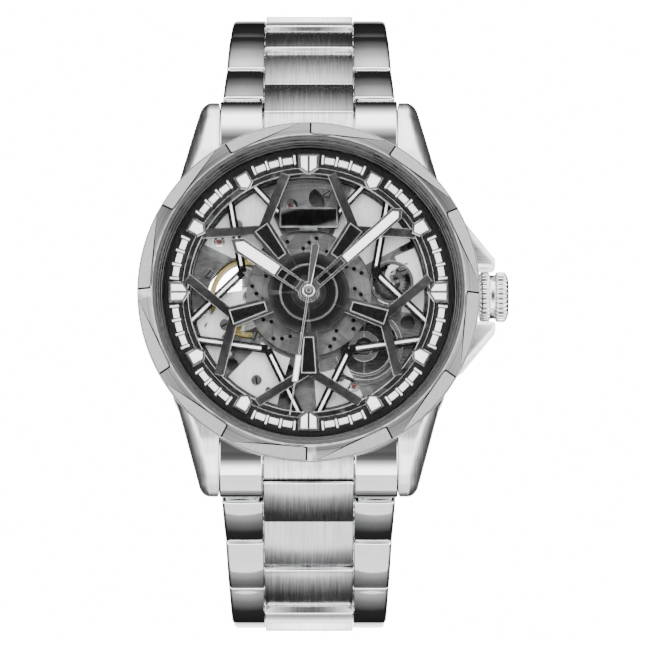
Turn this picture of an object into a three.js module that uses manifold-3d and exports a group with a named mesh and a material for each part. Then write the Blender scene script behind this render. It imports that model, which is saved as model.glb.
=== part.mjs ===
// Skeleton wristwatch with a three-link steel bracelet and a fold-over clasp.
//
// The watch is drawn lying on its back: x points to 3 o'clock, y to 12 o'clock and z out of the
// dial, with the origin at the centre of the rear crystal's outer face. The whole group is then
// stood up, so that in the exported frame the dial faces -Y and 12 o'clock is +Z.

import * as THREE from 'three';
import { mergeVertices } from 'three/addons/utils/BufferGeometryUtils.js';
import Module from 'manifold-3d';

const wasm = await Module();
wasm.setup();

// ---------------------------------------------------------------- driving dimensions (mm)

const GAP = 0.05;                 // clearance between pieces that touch
const RING_STEPS = 48;            // facets round the case
const SMALL_STEPS = 18;           // facets round wheels and the crown
const PIN_STEPS = 8;              // facets round pins and arbors

const BEZEL_RADIUS = 21;
const BEZEL_BORE = 19.05;
const CASE_RADIUS = 20.2;
const CASE_BORE = 18;
const CASE_BOTTOM = 1.5;
const CASE_TOP = 9;
const LUG_INNER_HALF = 11;
const CRYSTAL_TOP = 12;
const DIAL_RADIUS = 15.6;
const CHAPTER_RADIUS = 17.8;
const CASEBACK_GLASS_RADIUS = 13.2;
const ROTOR_RADIUS = 12.7;

const STEM_HEIGHT = 4.7;          // height of the winding stem's axis
const CROWN_RADIUS = 3.12;
const CROWN_START = 20.95;
const CROWN_END = 24.6;

const LINK_PITCH = 9.2;
const LINK_THICKNESS = 3.4;
const LINK_CENTRE_HALF = 5.55;
const LINK_SIDE_START = 5.65;
const LINK_GAP = 0.12;
const PIN_RADIUS = 0.5;
const PIN_OFFSET = LINK_PITCH / 4; // from a centre link's edge to its pin
const FIRST_HINGE = [22.6, 3.4];   // first bracelet pin, in y and z
const UPPER_SLOPES = [57, 53, 65, 78, 115, 154];
const LOWER_SLOPES = [64, 57, 66, 88, 118, 148];
const SPRING_BAR = [20.05, 2];      // y and z of the bars that hold the end links
const BRACELET_HALF_WIDTHS = [10.75, 10.3, 9.9, 9.6, 9.4, 9.3];

const BALANCE_CENTRE = [-7.3, -0.3];
const BALANCE_RADIUS = 4.9;
const ESCAPE_CENTRE = [-3.4, -4.13];
const PALLET_CENTRE = [-5.36, -2.2];
const THIRD_CENTRE = [3.2, 3.58];
const BARREL_CENTRE = [6.8, -6.4];
const BARREL_RADIUS = 4.7;

const HOUR_ANGLE = 304.2;         // degrees clockwise from 12
const MINUTE_ANGLE = 48.3;
const SECONDS_ANGLE = 188.5;

// ---------------------------------------------------------------- materials

function steel(color, roughness) {
  return new THREE.MeshStandardMaterial({ color, roughness, metalness: 1 });
}

const MATERIALS = {
  brushed: () => steel(0xc9cbcd, 0.38),
  polished: () => steel(0xd9dbdd, 0.12),
  rhodium: () => steel(0xbfc1c4, 0.3),
  gunmetal: () => steel(0x55575a, 0.42),
  brass: () => steel(0xd9b24c, 0.25),
  black: () => new THREE.MeshStandardMaterial({ color: 0x141516, roughness: 0.5 }),
  rubber: () => new THREE.MeshStandardMaterial({ color: 0x1b1b1c, roughness: 0.8 }),
  glass: () => new THREE.MeshStandardMaterial({
    color: 0xeef4f6, roughness: 0.02, opacity: 0.25, transparent: true,
  }),
};

// ---------------------------------------------------------------- shape helpers

const radians = THREE.MathUtils.degToRad;

function solid(geometry) {
  geometry.deleteAttribute('normal');
  geometry.deleteAttribute('uv');
  const merged = mergeVertices(geometry, 1e-5);
  const mesh = new wasm.Mesh({
    numProp: 3,
    vertProperties: new Float32Array(merged.attributes.position.array),
    triVerts: new Uint32Array(merged.index.array),
  });
  return new wasm.Manifold(mesh);
}

function geometryOf(body) {
  const mesh = body.getMesh();
  const geometry = new THREE.BufferGeometry();
  geometry.setAttribute('position', new THREE.BufferAttribute(new Float32Array(mesh.vertProperties), 3));
  geometry.setIndex(new THREE.BufferAttribute(new Uint32Array(mesh.triVerts), 1));
  geometry.computeVertexNormals();
  return geometry;
}

function joined(pieces) {
  return pieces.reduce((whole, piece) => whole.add(piece));
}

// A closed outline of [radius, z] points, given anticlockwise, turned about the z axis.
function turned(outline, steps = RING_STEPS, closed = true) {
  const points = outline.map(([r, z]) => new THREE.Vector2(r, z));
  if (closed) {
    points.push(points[0].clone());
  }
  const geometry = new THREE.LatheGeometry(points, steps);
  geometry.rotateX(Math.PI / 2);
  return solid(geometry);
}

function ring(inner, outer, low, high, steps = RING_STEPS) {
  return turned([[inner, low], [outer, low], [outer, high], [inner, high]], steps);
}

function disc(radius, low, high, steps = RING_STEPS, centre = [0, 0]) {
  const geometry = new THREE.CylinderGeometry(radius, radius, high - low, steps);
  geometry.rotateX(Math.PI / 2);
  geometry.translate(centre[0], centre[1], (low + high) / 2);
  return solid(geometry);
}

function rod(radius, start, end, centre, steps = PIN_STEPS) {
  const geometry = new THREE.CylinderGeometry(radius, radius, end - start, steps);
  geometry.rotateZ(Math.PI / 2);
  geometry.translate((start + end) / 2, centre[0], centre[1]);
  return solid(geometry);
}

// A flat plate from an outline of [x, y] points.
function plate(outline, low, high) {
  const shape = new THREE.Shape(outline.map(([x, y]) => new THREE.Vector2(x, y)));
  const geometry = new THREE.ExtrudeGeometry(shape, { depth: high - low, bevelEnabled: false });
  geometry.translate(0, 0, low);
  return solid(geometry);
}

// A side profile of [y, z] points, carried along x.
function profileBar(outline, start, end) {
  const shape = new THREE.Shape(outline.map(([y, z]) => new THREE.Vector2(y, z)));
  const geometry = new THREE.ExtrudeGeometry(shape, { depth: end - start, bevelEnabled: false });
  const turn = new THREE.Matrix4().makeBasis(
    new THREE.Vector3(0, 1, 0),
    new THREE.Vector3(0, 0, 1),
    new THREE.Vector3(1, 0, 0),
  );
  geometry.applyMatrix4(turn);
  geometry.translate(start, 0, 0);
  return solid(geometry);
}

function box(width, length, low, high, centre = [0, 0], angle = 0) {
  const geometry = new THREE.BoxGeometry(width, length, high - low);
  geometry.rotateZ(radians(angle));
  geometry.translate(centre[0], centre[1], (low + high) / 2);
  return solid(geometry);
}

// A point at a radius and a clock angle, in degrees clockwise from 12.
function clock(radius, angle) {
  return [radius * Math.sin(radians(angle)), radius * Math.cos(radians(angle))];
}

// A straight bar between two points, of one width.
function bar(from, to, width, low, high) {
  const [dx, dy] = [to[0] - from[0], to[1] - from[1]];
  const centre = [(from[0] + to[0]) / 2, (from[1] + to[1]) / 2];
  return box(width, Math.hypot(dx, dy), low, high, centre, THREE.MathUtils.radToDeg(Math.atan2(-dx, dy)));
}

function arcPoints(centre, radius, startAngle, endAngle, steps) {
  const points = [];
  for (let i = 0; i <= steps; i += 1) {
    const angle = radians(startAngle + ((endAngle - startAngle) * i) / steps);
    points.push([centre[0] + radius * Math.cos(angle), centre[1] + radius * Math.sin(angle)]);
  }
  return points;
}

const watch = new THREE.Group();
watch.rotation.x = Math.PI / 2;

function addMesh(name, body, material, parent = watch) {
  const mesh = new THREE.Mesh(geometryOf(body), MATERIALS[material]());
  mesh.name = name;
  parent.add(mesh);
  return mesh;
}

// ---------------------------------------------------------------- case

const LUG_PROFILE = [
  [14, CASE_TOP], [18, 8.35], [21, 7.1], [23.4, 5.4], [24.3, 4.3],
  [24.5, 2.8], [24, 1.3], [22.6, 0.9], [18, CASE_BOTTOM],
];
const LUG_OUTLINE = [
  [LUG_INNER_HALF, 12], [16.4, 12], [16.2, 14], [14.9, 18.6],
  [13.3, 23.8], [12.6, 25], [LUG_INNER_HALF, 25],
];
const GUARD_OUTLINE = [[17, 10], [18.7, 9.4], [23.05, 4.4], [23.05, 3.3], [20.4, 3.3], [17, 3.3]];
const GUARD_BOTTOM = 2.4;
const GUARD_TOP = 7.6;

function mirrored(outline, signX, signY) {
  const flipped = outline.map(([x, y]) => [x * signX, y * signY]);
  return signX * signY < 0 ? flipped.reverse() : flipped;
}

function caseMiddle() {
  const profile = LUG_PROFILE.concat([[10, CASE_BOTTOM], [10, CASE_TOP]]);
  const lowerProfile = profile.map(([y, z]) => [-y, z]);
  const lugBars = profileBar(profile.reverse(), -18, 18).add(profileBar(lowerProfile, -18, 18));
  let lugs = null;
  for (const signX of [-1, 1]) {
    for (const signY of [-1, 1]) {
      const lug = plate(mirrored(LUG_OUTLINE, signX, signY), 0, CASE_TOP + 1);
      lugs = lugs ? lugs.add(lug) : lug;
    }
  }
  let body = disc(CASE_RADIUS, CASE_BOTTOM, CASE_TOP).add(lugs.intersect(lugBars));
  const lugGap = 2 * LUG_INNER_HALF;
  for (const side of [-1, 1]) {
    body = body.add(plate(mirrored(GUARD_OUTLINE, 1, side), GUARD_BOTTOM, GUARD_TOP));
    const seat = box(lugGap, 15, 0, CASE_TOP - 0.4, [0, side * 23]);
    body = body.subtract(seat.subtract(disc(CASE_RADIUS - 0.9, 0, CASE_TOP)));
    body = body.subtract(rod(0.6, -12, 12, [side * SPRING_BAR[0], SPRING_BAR[1]]));
  }
  body = body.subtract(disc(CASE_BORE, 1.95, CASE_TOP + 1));
  body = body.subtract(disc(16.5, 0, 3));
  return body.subtract(rod(1.25, 15, 22, [0, STEM_HEIGHT], SMALL_STEPS));
}

addMesh('case_middle', caseMiddle(), 'brushed');

addMesh('bezel', turned([
  [BEZEL_BORE, CASE_TOP + GAP], [20.8, CASE_TOP + GAP], [BEZEL_RADIUS, 9.25], [BEZEL_RADIUS, 10],
  [20.6, 10.35], [19.4, 11.25], [BEZEL_BORE, 11.3],
]), 'brushed');

addMesh('crystal', turned([
  [0, 10.9], [18.7, 10.9], [18.7, 11.6], [18.3, CRYSTAL_TOP], [0, CRYSTAL_TOP],
], RING_STEPS, false), 'glass');

addMesh('crystal_gasket', ring(18.75, 19, 10.9, 11.2), 'rubber');

addMesh('rehaut_ring', turned([
  [17.85, CASE_TOP + GAP], [18.95, CASE_TOP + GAP], [18.95, 10.85], [18.75, 10.85],
]), 'rhodium');

// The rear cover is a screwed ring round a flush crystal.
addMesh('caseback_ring', turned([
  [13.3, 0], [17.2, 0], [17.6, 0.4], [17.6, 1.45], [16.4, 1.45], [16.4, 1.9], [13.3, 1.9],
]), 'polished');

addMesh('caseback_crystal', disc(CASEBACK_GLASS_RADIUS, 0, 1.3), 'glass');

addMesh('crown_tube', rod(1.2, 17.95, 20.85, [0, STEM_HEIGHT], SMALL_STEPS)
  .subtract(rod(0.65, 17, 22, [0, STEM_HEIGHT])), 'polished');

// ---------------------------------------------------------------- dial side

const MARKER_LOW = 8.8;
const MARKER_HIGH = 9.3;

// An applied hour marker: a five-sided block that points to the centre.
function marker(angle) {
  const large = angle % 90 === 0;
  const half = large ? 1.3 : 0.95;
  const outer = large ? 17.1 : 16.8;
  const inner = outer - (large ? 1.75 : 1.6);
  const tip = inner - (large ? 0.75 : 0.65);
  const outline = [[-half, outer], [-half, inner], [0, tip], [half, inner], [half, outer]];
  return plate(outline, MARKER_LOW, MARKER_HIGH).rotate([0, 0, -angle]);
}

function chapterRing() {
  let body = ring(DIAL_RADIUS + GAP, CHAPTER_RADIUS, 8.3, 8.9);
  for (let angle = 0; angle < 360; angle += 30) {
    body = body.add(marker(angle));
  }
  return body;
}

addMesh('chapter_ring', chapterRing(), 'black');

const SPOKE_ANGLES = [36, 108, 180, 252, 324];
const SPOKE_FORK = 25;            // degrees from a spoke to the ends of its fork
const FRAME_LOW = 8.1;
const FRAME_HIGH = 8.75;

// The open dial: a hub, five forked spokes and a rim.
function dialFrame() {
  const pieces = [
    ring(1.15, 5, FRAME_LOW, FRAME_HIGH, 24),
    ring(14.7, DIAL_RADIUS - 1e-3, FRAME_LOW, FRAME_HIGH),
  ];
  for (const angle of SPOKE_ANGLES) {
    const spoke = plate([[-1.15, 10.1], [-0.85, 4.6], [0.85, 4.6], [1.15, 10.1]], FRAME_LOW, FRAME_HIGH);
    pieces.push(spoke.rotate([0, 0, -angle]));
    for (const side of [-1, 1]) {
      const end = clock(15, angle + side * SPOKE_FORK);
      pieces.push(bar(clock(9.6, angle), end, 1.05, FRAME_LOW, FRAME_HIGH));
    }
  }
  return joined(pieces);
}

addMesh('dial_frame', dialFrame(), 'gunmetal');

const STRUT_ANGLES = [72, 144, 216, 288];
const STRUT_SPREAD = 32;
const STRUT_LOW = 7.5;
const STRUT_HIGH = 8;

// The layer under the open dial: four V-shaped struts and the plate at 12, on one thin ring.
function strutPlate() {
  const pieces = [ring(14.9, DIAL_RADIUS, STRUT_LOW, STRUT_HIGH)];
  for (const angle of STRUT_ANGLES) {
    for (const side of [-1, 1]) {
      const end = clock(15.2, angle + side * STRUT_SPREAD);
      pieces.push(bar(clock(8.6, angle), end, 0.9, STRUT_LOW, STRUT_HIGH));
    }
  }
  pieces.push(box(7.3, 2.65, STRUT_LOW, STRUT_HIGH, [0, 9.4]));
  for (const side of [-1, 1]) {
    pieces.push(bar([side * 3.2, 9.6], clock(15.2, side * 28), 0.9, STRUT_LOW, STRUT_HIGH));
  }
  return joined(pieces);
}

addMesh('strut_plate', strutPlate(), 'black');
addMesh('perforated_disc', ring(1.5, 7.65, 7.12, 7.4, 36), 'rhodium');

// ---------------------------------------------------------------- movement

const PLATE_LOW = 5.35;
const PLATE_HIGH = 6.6;

function movementRing() {
  const body = turned([[14.5, 2], [17.9, 2], [17.9, 8.25], [15.75, 8.25], [15.75, 7.44], [14.5, 7.44]]);
  return body.subtract(rod(0.65, 13, 19, [0, STEM_HEIGHT]));
}

addMesh('movement_ring', movementRing(), 'rhodium');

function mainPlate() {
  const openings = [
    disc(BALANCE_RADIUS + 0.3, 5, 7, 24, BALANCE_CENTRE),
    disc(2.3, 5, 7, SMALL_STEPS, [10.2, 1.5]),
    disc(3.6, 5, 7, SMALL_STEPS, [7.6, -6.9]),
    disc(2, 5, 7, SMALL_STEPS, [0, 11.3]),
    disc(1.9, 5, 7, SMALL_STEPS, [6, 10]),
    disc(2.2, 5, 7, SMALL_STEPS, [-3.4, -10.6]),
    disc(0.65, 5, 7, SMALL_STEPS),
  ];
  return disc(14.4, PLATE_LOW, PLATE_HIGH).subtract(joined(openings));
}

addMesh('main_plate', mainPlate(), 'rhodium');

function trainBridge() {
  const body = disc(13.8, 2.85, 3.3, 48);
  const cuts = [
    disc(1.25, 2, 4, SMALL_STEPS),
    disc(4.1, 2, 4, SMALL_STEPS, [-8.6, 0]),
    disc(2.6, 2, 4, SMALL_STEPS, [6.4, 7.2]),
  ];
  return body.subtract(joined(cuts));
}

addMesh('train_bridge', trainBridge(), 'rhodium');
addMesh('rotor_bearing', disc(1.2, 1.65, 3.3, SMALL_STEPS), 'polished');

function balanceCock() {
  const [x, y] = BALANCE_CENTRE;
  const low = 6.65;
  const high = 7.05;
  const outline = [[x - 3, y + 0.2], [-13, -4.4], [-11.6, -6.4], [x - 0.3, y - 0.9], [x + 0.7, y + 0.9]];
  return plate(outline, low, high).add(disc(1, low, high, SMALL_STEPS, BALANCE_CENTRE));
}

addMesh('balance_cock', balanceCock(), 'rhodium');

// The wheels are plain discs at their pitch circles, each on its own arbor.
function wheel(centre, arborRadius, arborLow, arborHigh, discs) {
  const pieces = [disc(arborRadius, arborLow, arborHigh, PIN_STEPS, centre)];
  for (const [radius, low, high] of discs) {
    pieces.push(disc(radius, low, high, SMALL_STEPS, centre));
  }
  return joined(pieces);
}

// A wheel whose spokes run from its centre to its rim.
function spokedWheel(centre, radius, rim, low, high, spokes) {
  const pieces = [ring(radius - rim, radius, low, high, SMALL_STEPS)];
  for (let i = 0; i < spokes; i += 1) {
    pieces.push(bar([0, 0], clock(radius - rim / 2, (360 * i) / spokes), rim * 0.8, low, high));
  }
  return joined(pieces).translate([centre[0], centre[1], 0]);
}

function tube(inner, outer, low, high) {
  return ring(inner, outer, low, high, SMALL_STEPS);
}

addMesh('seconds_wheel', wheel([0, 0], 0.22, 3.4, 10.15, [[0.48, 3.68, 3.87], [4.9, 3.4, 3.58]]), 'brass');
addMesh('center_wheel', tube(0.3, 0.55, 3.95, 9.7).add(tube(0.3, 4.2, 3.95, 4.2)), 'brass');
addMesh('hour_wheel', tube(0.62, 0.95, 6.72, 9.25).add(tube(0.62, 2.8, 6.72, 6.95)), 'brass');
addMesh('third_wheel', wheel(THIRD_CENTRE, 0.2, 3.66, 5.25, [[4.1, 3.68, 3.86], [0.5, 3.95, 4.2]]), 'brass');
addMesh('escape_wheel', wheel(ESCAPE_CENTRE, 0.18, 3.4, 5.2, [
  [0.38, 3.4, 3.6], [1.9, 4.35, 4.5],
]), 'polished');

// The pallet fork: two arms over the escape wheel and a lever towards the balance.
function palletFork() {
  const pieces = [
    disc(0.35, 4.75, 4.95, PIN_STEPS),
    disc(0.15, 4.6, 5.25, PIN_STEPS),
    box(2.6, 0.45, 4.75, 4.95, [0, -0.2]),
    box(0.4, 2.1, 4.75, 4.95, [0, 1]),
  ];
  const [x, y] = PALLET_CENTRE;
  const lean = Math.atan2(x - BALANCE_CENTRE[0], BALANCE_CENTRE[1] - y);
  return joined(pieces).rotate([0, 0, THREE.MathUtils.radToDeg(lean)]).translate([x, y, 0]);
}

addMesh('pallet_fork', palletFork(), 'polished');

function balanceWheel() {
  return joined([
    spokedWheel(BALANCE_CENTRE, BALANCE_RADIUS, 0.7, 5.6, 6, 2),
    disc(0.6, 5.5, 6.1, SMALL_STEPS, BALANCE_CENTRE),
    disc(0.2, 3.5, 6.55, PIN_STEPS, BALANCE_CENTRE),
  ]);
}

addMesh('balance_wheel', balanceWheel(), 'brass');
addMesh('barrel', wheel(BARREL_CENTRE, 0.8, 3.55, 5.25, [[BARREL_RADIUS, 3.72, 5.15]]), 'rhodium');

// The winding rotor hangs with its weight towards 6 o'clock.
function rotor() {
  const rim = ring(10.4, ROTOR_RADIUS, 1.75, 2.75, 48);
  const web = ring(1.3, 10.8, 2.2, 2.75, 48);
  const half = box(30, 15, 0, 5, [0, -8.2]);
  const hub = ring(1.3, 2.6, 2.05, 2.75, SMALL_STEPS);
  return rim.add(web).intersect(half).add(hub);
}

addMesh('rotor', rotor(), 'rhodium');

// ---------------------------------------------------------------- hands

// A sword hand: straight sides, a pointed tip and a window near its boss.
function swordHand({ tip, shoulder, half, boss, windowStart, windowEnd, windowHalf, bore, low, high }) {
  const outline = [[-half * 0.8, 0], [half * 0.8, 0], [half, shoulder], [0, tip], [-half, shoulder]];
  const windowMiddle = [0, (windowStart + windowEnd) / 2];
  return plate(outline, low, high)
    .subtract(box(windowHalf * 2, windowEnd - windowStart, low - 1, high + 1, windowMiddle))
    .add(disc(boss, low, high, SMALL_STEPS))
    .subtract(disc(bore, low - 1, high + 1, SMALL_STEPS));
}

addMesh('hour_hand', swordHand({
  tip: 11.5, shoulder: 10.2, half: 1, boss: 1.3, windowStart: 1.6, windowEnd: 4.4, windowHalf: 0.55,
  bore: 0.62, low: 9.3, high: 9.5,
}).rotate([0, 0, -HOUR_ANGLE]), 'polished');

addMesh('minute_hand', swordHand({
  tip: 15.3, shoulder: 14.4, half: 0.85, boss: 1.08, windowStart: 1.6, windowEnd: 5.7, windowHalf: 0.34,
  bore: 0.3, low: 9.75, high: 9.95,
}).rotate([0, 0, -MINUTE_ANGLE]), 'polished');

function secondsHand() {
  const needle = [[-0.16, 0], [0.16, 0], [0.07, 15.5], [-0.07, 15.5]];
  const tail = [[0.3, 0], [-0.3, 0], [-0.2, -5.8], [0.2, -5.8]];
  const low = 10.2;
  const high = 10.35;
  return joined([
    plate(needle, low, high),
    plate(tail.reverse(), low, high),
    box(0.6, 3.2, low, high, [0, 9.7]),
    disc(0.8, low, high, SMALL_STEPS),
  ]).rotate([0, 0, -SECONDS_ANGLE]);
}

addMesh('seconds_hand', secondsHand(), 'polished');

// ---------------------------------------------------------------- winding stem and crown

addMesh('winding_stem', rod(0.5, 12, 22.3, [0, STEM_HEIGHT]), 'polished');

function crown() {
  const outline = [
    [0, 22.4], [0.6, 22.4], [0.6, CROWN_START], [2.8, CROWN_START],
    [CROWN_RADIUS, 21.2], [CROWN_RADIUS, 22.3], [2.8, 22.4], [2.8, 22.9],
    [CROWN_RADIUS, 23], [CROWN_RADIUS, 24.2], [2.7, CROWN_END], [0, CROWN_END],
  ];
  const body = turned(outline, SMALL_STEPS, false);
  return body.rotate([0, 90, 0]).translate([0, 0, STEM_HEIGHT]);
}

addMesh('crown', crown(), 'polished');

// ---------------------------------------------------------------- bracelet

const EAR_RADIUS = 2.1;
const SWING_CLEARANCE = 2.5;      // clear space that a centre link's rounded end turns in

// The solid piece between the lugs, whose two ears carry the first bracelet pin.
function endLink() {
  const [y, z] = FIRST_HINGE;
  const back = [[17, 1.7], [17, 7.9], [20.6, 7.2]];
  const earEnd = arcPoints(FIRST_HINGE, EAR_RADIUS, 75, -100, 8);
  const ears = profileBar(back.concat(earEnd).reverse(), -LUG_INNER_HALF + 0.1, LUG_INNER_HALF - 0.1);
  const stubProfile = back.concat([[22.2, 6.5], [22.2, 1.7]]).reverse();
  const stub = profileBar(stubProfile, -LINK_CENTRE_HALF, LINK_CENTRE_HALF);
  const slot = LINK_SIDE_START - 0.01;
  const swing = rod(SWING_CLEARANCE, -slot, slot, FIRST_HINGE, SMALL_STEPS);
  const front = profileBar([[y, -3], [y + 6, -3], [y + 6, 9], [y, 9]], -slot, slot);
  return ears.add(stub)
    .subtract(swing)
    .subtract(front)
    .subtract(disc(CASE_RADIUS - 0.85, 0, 9))
    .subtract(rod(0.55, -15, 15, SPRING_BAR))
    .add(rod(PIN_RADIUS, -slot - 0.5, slot + 0.5, [y, z]));
}

// A link's side profile: flat faces and round ends, from start to end along the row.
function linkProfile(start, end) {
  const radius = LINK_THICKNESS / 2;
  const near = arcPoints([start + radius, 0], radius, 270, 90, 4);
  const far = arcPoints([end - radius, 0], radius, 90, -90, 4);
  return near.concat(far).reverse();
}

// One row, drawn with its pin on the x axis: a centre link and two side links half a pitch on.
function linkRow(halfWidth) {
  const centreStart = -PIN_OFFSET + LINK_GAP / 2;
  const centreEnd = centreStart + LINK_PITCH - LINK_GAP;
  const sideStart = centreStart + LINK_PITCH / 2;
  const sideEnd = centreEnd + LINK_PITCH / 2;
  const centre = profileBar(linkProfile(centreStart, centreEnd), -LINK_CENTRE_HALF, LINK_CENTRE_HALF);
  const bore = rod(PIN_RADIUS + 0.1, -8, 8, [0, 0]);
  const pieces = [
    centre.subtract(bore),
    profileBar(linkProfile(sideStart, sideEnd), LINK_SIDE_START, halfWidth),
    profileBar(linkProfile(sideStart, sideEnd), -halfWidth, -LINK_SIDE_START),
    rod(1, -LINK_SIDE_START - 0.5, LINK_SIDE_START + 0.5, [LINK_PITCH / 2, 0]),
  ];
  return joined(pieces);
}

function linkPin() {
  return rod(PIN_RADIUS, -LINK_SIDE_START - 0.5, LINK_SIDE_START + 0.5, [LINK_PITCH, 0]);
}

function hingePoints(slopes) {
  const points = [FIRST_HINGE];
  for (const slope of slopes) {
    const [y, z] = points[points.length - 1];
    points.push([y + LINK_PITCH * Math.cos(radians(slope)), z - LINK_PITCH * Math.sin(radians(slope))]);
  }
  return points;
}

function halfBracelet(side, slopes, lastPin) {
  const group = new THREE.Group();
  addMesh(`end_link_${side}`, endLink(), 'brushed', group);
  addMesh(`spring_bar_${side}`, rod(0.48, -11.7, 11.7, SPRING_BAR), 'polished', group);
  const hinges = hingePoints(slopes);
  slopes.forEach((slope, i) => {
    const pinned = i < slopes.length - 1 || lastPin;
    const row = linkRow(BRACELET_HALF_WIDTHS[i]);
    const mesh = addMesh(`link_${side}_${i + 1}`, pinned ? row.add(linkPin()) : row, 'brushed', group);
    mesh.position.set(0, ...hinges[i]);
    mesh.rotation.x = -radians(slope);
  });
  watch.add(group);
  return group;
}

halfBracelet('upper', UPPER_SLOPES, false);
const lowerHalf = halfBracelet('lower', LOWER_SLOPES, true);
lowerHalf.rotation.z = Math.PI;

// ---------------------------------------------------------------- clasp

// The clasp lies between the two last pins. It is drawn along y from the lower half's last pin,
// with z pointing away from the wrist, and three bowed layers folded on each other.
const upperEnd = hingePoints(UPPER_SLOPES).at(-1);
const lowerEnd = hingePoints(LOWER_SLOPES).at(-1);
const CLASP_SPAN = Math.hypot(upperEnd[0] + lowerEnd[0], upperEnd[1] - lowerEnd[1]);
const CLASP_BOW = 2.4;
const CLASP_STEPS = 6;
const BLADE_HALF = 5;
const COVER_HALF = 8.9;
const COVER_WALL = 0.9;
const COVER_START = 4.4;
const COVER_END = 45.6;
const KNUCKLE_RADIUS = 0.8;
const FOLD_NEAR = 7.6;            // hinge between the outer blade and the cover
const FOLD_FAR = 42.6;            // hinge between the two blades
const BUTTON_HALF_LENGTH = 2.4;

function bow(along) {
  const middle = (2 * along - CLASP_SPAN) / CLASP_SPAN;
  return CLASP_BOW * (1 - middle * middle);
}

// A bowed strip's side profile between two distances along the clasp and two heights.
function strip(start, end, low, high) {
  const under = [];
  const over = [];
  for (let i = 0; i <= CLASP_STEPS; i += 1) {
    const along = start + ((end - start) * i) / CLASP_STEPS;
    under.push([along, low + bow(along)]);
    over.unshift([along, high + bow(along)]);
  }
  return under.concat(over);
}

function knuckle(along, height, start, end) {
  return rod(KNUCKLE_RADIUS, start, end, [along, height + bow(along)], 10);
}

const BLADE_INNER = [-1.55, -0.75];
const BLADE_OUTER = [-0.55, 0.25];
const COVER_LAYER = [1.05, 1.85];
const FOLD_FAR_HEIGHT = -0.65;
const FOLD_NEAR_HEIGHT = 0.15;

// A straight cut through all the layers, between two distances along the clasp.
function notch(start, end, left, right) {
  return profileBar([[start, -5], [end, -5], [end, 5], [start, 5]], left, right);
}

function bladeInner() {
  const tongue = LINK_SIDE_START - 0.15;
  const eye = 2.4;
  const root = [[0, -1], [6, -1.5 + bow(6)], [6, -0.8 + bow(6)], [0, 0.9]];
  return joined([
    rod(1.25, -tongue, tongue, [0, 0], 10),
    profileBar(root, -BLADE_HALF + 0.3, BLADE_HALF - 0.3),
    profileBar(strip(5, FOLD_FAR, ...BLADE_INNER), -BLADE_HALF, BLADE_HALF),
  ])
    .subtract(notch(FOLD_FAR - 1.7, FOLD_FAR + 2, eye, BLADE_HALF + 1))
    .subtract(notch(FOLD_FAR - 1.7, FOLD_FAR + 2, -BLADE_HALF - 1, -eye))
    .add(knuckle(FOLD_FAR, FOLD_FAR_HEIGHT, -eye, eye))
    .subtract(rod(PIN_RADIUS + 0.1, -8, 8, [0, 0]))
    .subtract(rod(0.5, -8, 8, [FOLD_FAR, FOLD_FAR_HEIGHT + bow(FOLD_FAR)]));
}

function bladeOuter() {
  const eye = 2.6;
  return joined([
    profileBar(strip(FOLD_NEAR, FOLD_FAR, ...BLADE_OUTER), -BLADE_HALF, BLADE_HALF),
    knuckle(FOLD_NEAR, FOLD_NEAR_HEIGHT, -BLADE_HALF, BLADE_HALF),
    knuckle(FOLD_FAR, FOLD_FAR_HEIGHT, -BLADE_HALF, BLADE_HALF),
  ])
    .subtract(notch(FOLD_FAR - 1.2, FOLD_FAR + 2, -eye, eye))
    .subtract(rod(0.5, -8, 8, [FOLD_NEAR, FOLD_NEAR_HEIGHT + bow(FOLD_NEAR)]))
    .add(rod(0.4, -eye - 0.5, eye + 0.5, [FOLD_FAR, FOLD_FAR_HEIGHT + bow(FOLD_FAR)]));
}

// A push button's side profile, or its opening when it is grown along the clasp and in height.
function buttonProfile(growLength = 0, growHeight = 0) {
  const middle = CLASP_SPAN / 2;
  const half = BUTTON_HALF_LENGTH + growLength;
  const low = bow(middle) - 0.75 - growHeight;
  const high = bow(middle) + 0.55 + growHeight;
  return [[middle - half, low], [middle + half, low], [middle + half, high], [middle - half, high]];
}

function claspCover() {
  const tongue = LINK_SIDE_START - 0.15;
  const root = COVER_END - 1.2;
  const neck = [[CLASP_SPAN, -0.6], [CLASP_SPAN, 1.25], [root, 1.85 + bow(root)], [root, 1.1 + bow(root)]];
  const pieces = [
    profileBar(strip(COVER_START, COVER_END, ...COVER_LAYER), -COVER_HALF, COVER_HALF),
    profileBar(neck, -tongue, tongue),
    rod(1.25, -tongue, tongue, [CLASP_SPAN, 0], 10),
    rod(0.4, -COVER_HALF + 0.3, COVER_HALF - 0.3, [FOLD_NEAR, FOLD_NEAR_HEIGHT + bow(FOLD_NEAR)]),
  ];
  for (const side of [-1, 1]) {
    const edges = [side * COVER_HALF, side * (COVER_HALF - COVER_WALL)].sort((a, b) => a - b);
    pieces.push(profileBar(strip(COVER_START, COVER_END, -1.3, 1.2), ...edges));
  }
  return joined(pieces).subtract(profileBar(buttonProfile(0.15, 0.2), -12, 12));
}

function claspButton(side) {
  const edges = [side * 7.1, side * 9.7].sort((a, b) => a - b);
  return profileBar(buttonProfile(), ...edges);
}

const clasp = new THREE.Group();
clasp.position.set(0, ...lowerEnd);
clasp.rotation.x = Math.PI - Math.atan2(upperEnd[1] - lowerEnd[1], upperEnd[0] + lowerEnd[0]);
lowerHalf.add(clasp);

addMesh('clasp_blade_inner', bladeInner(), 'polished', clasp);
addMesh('clasp_blade_outer', bladeOuter(), 'polished', clasp);
addMesh('clasp_cover', claspCover(), 'brushed', clasp);
addMesh('clasp_button_left', claspButton(-1), 'polished', clasp);
addMesh('clasp_button_right', claspButton(1), 'polished', clasp);

export default watch;
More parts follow.
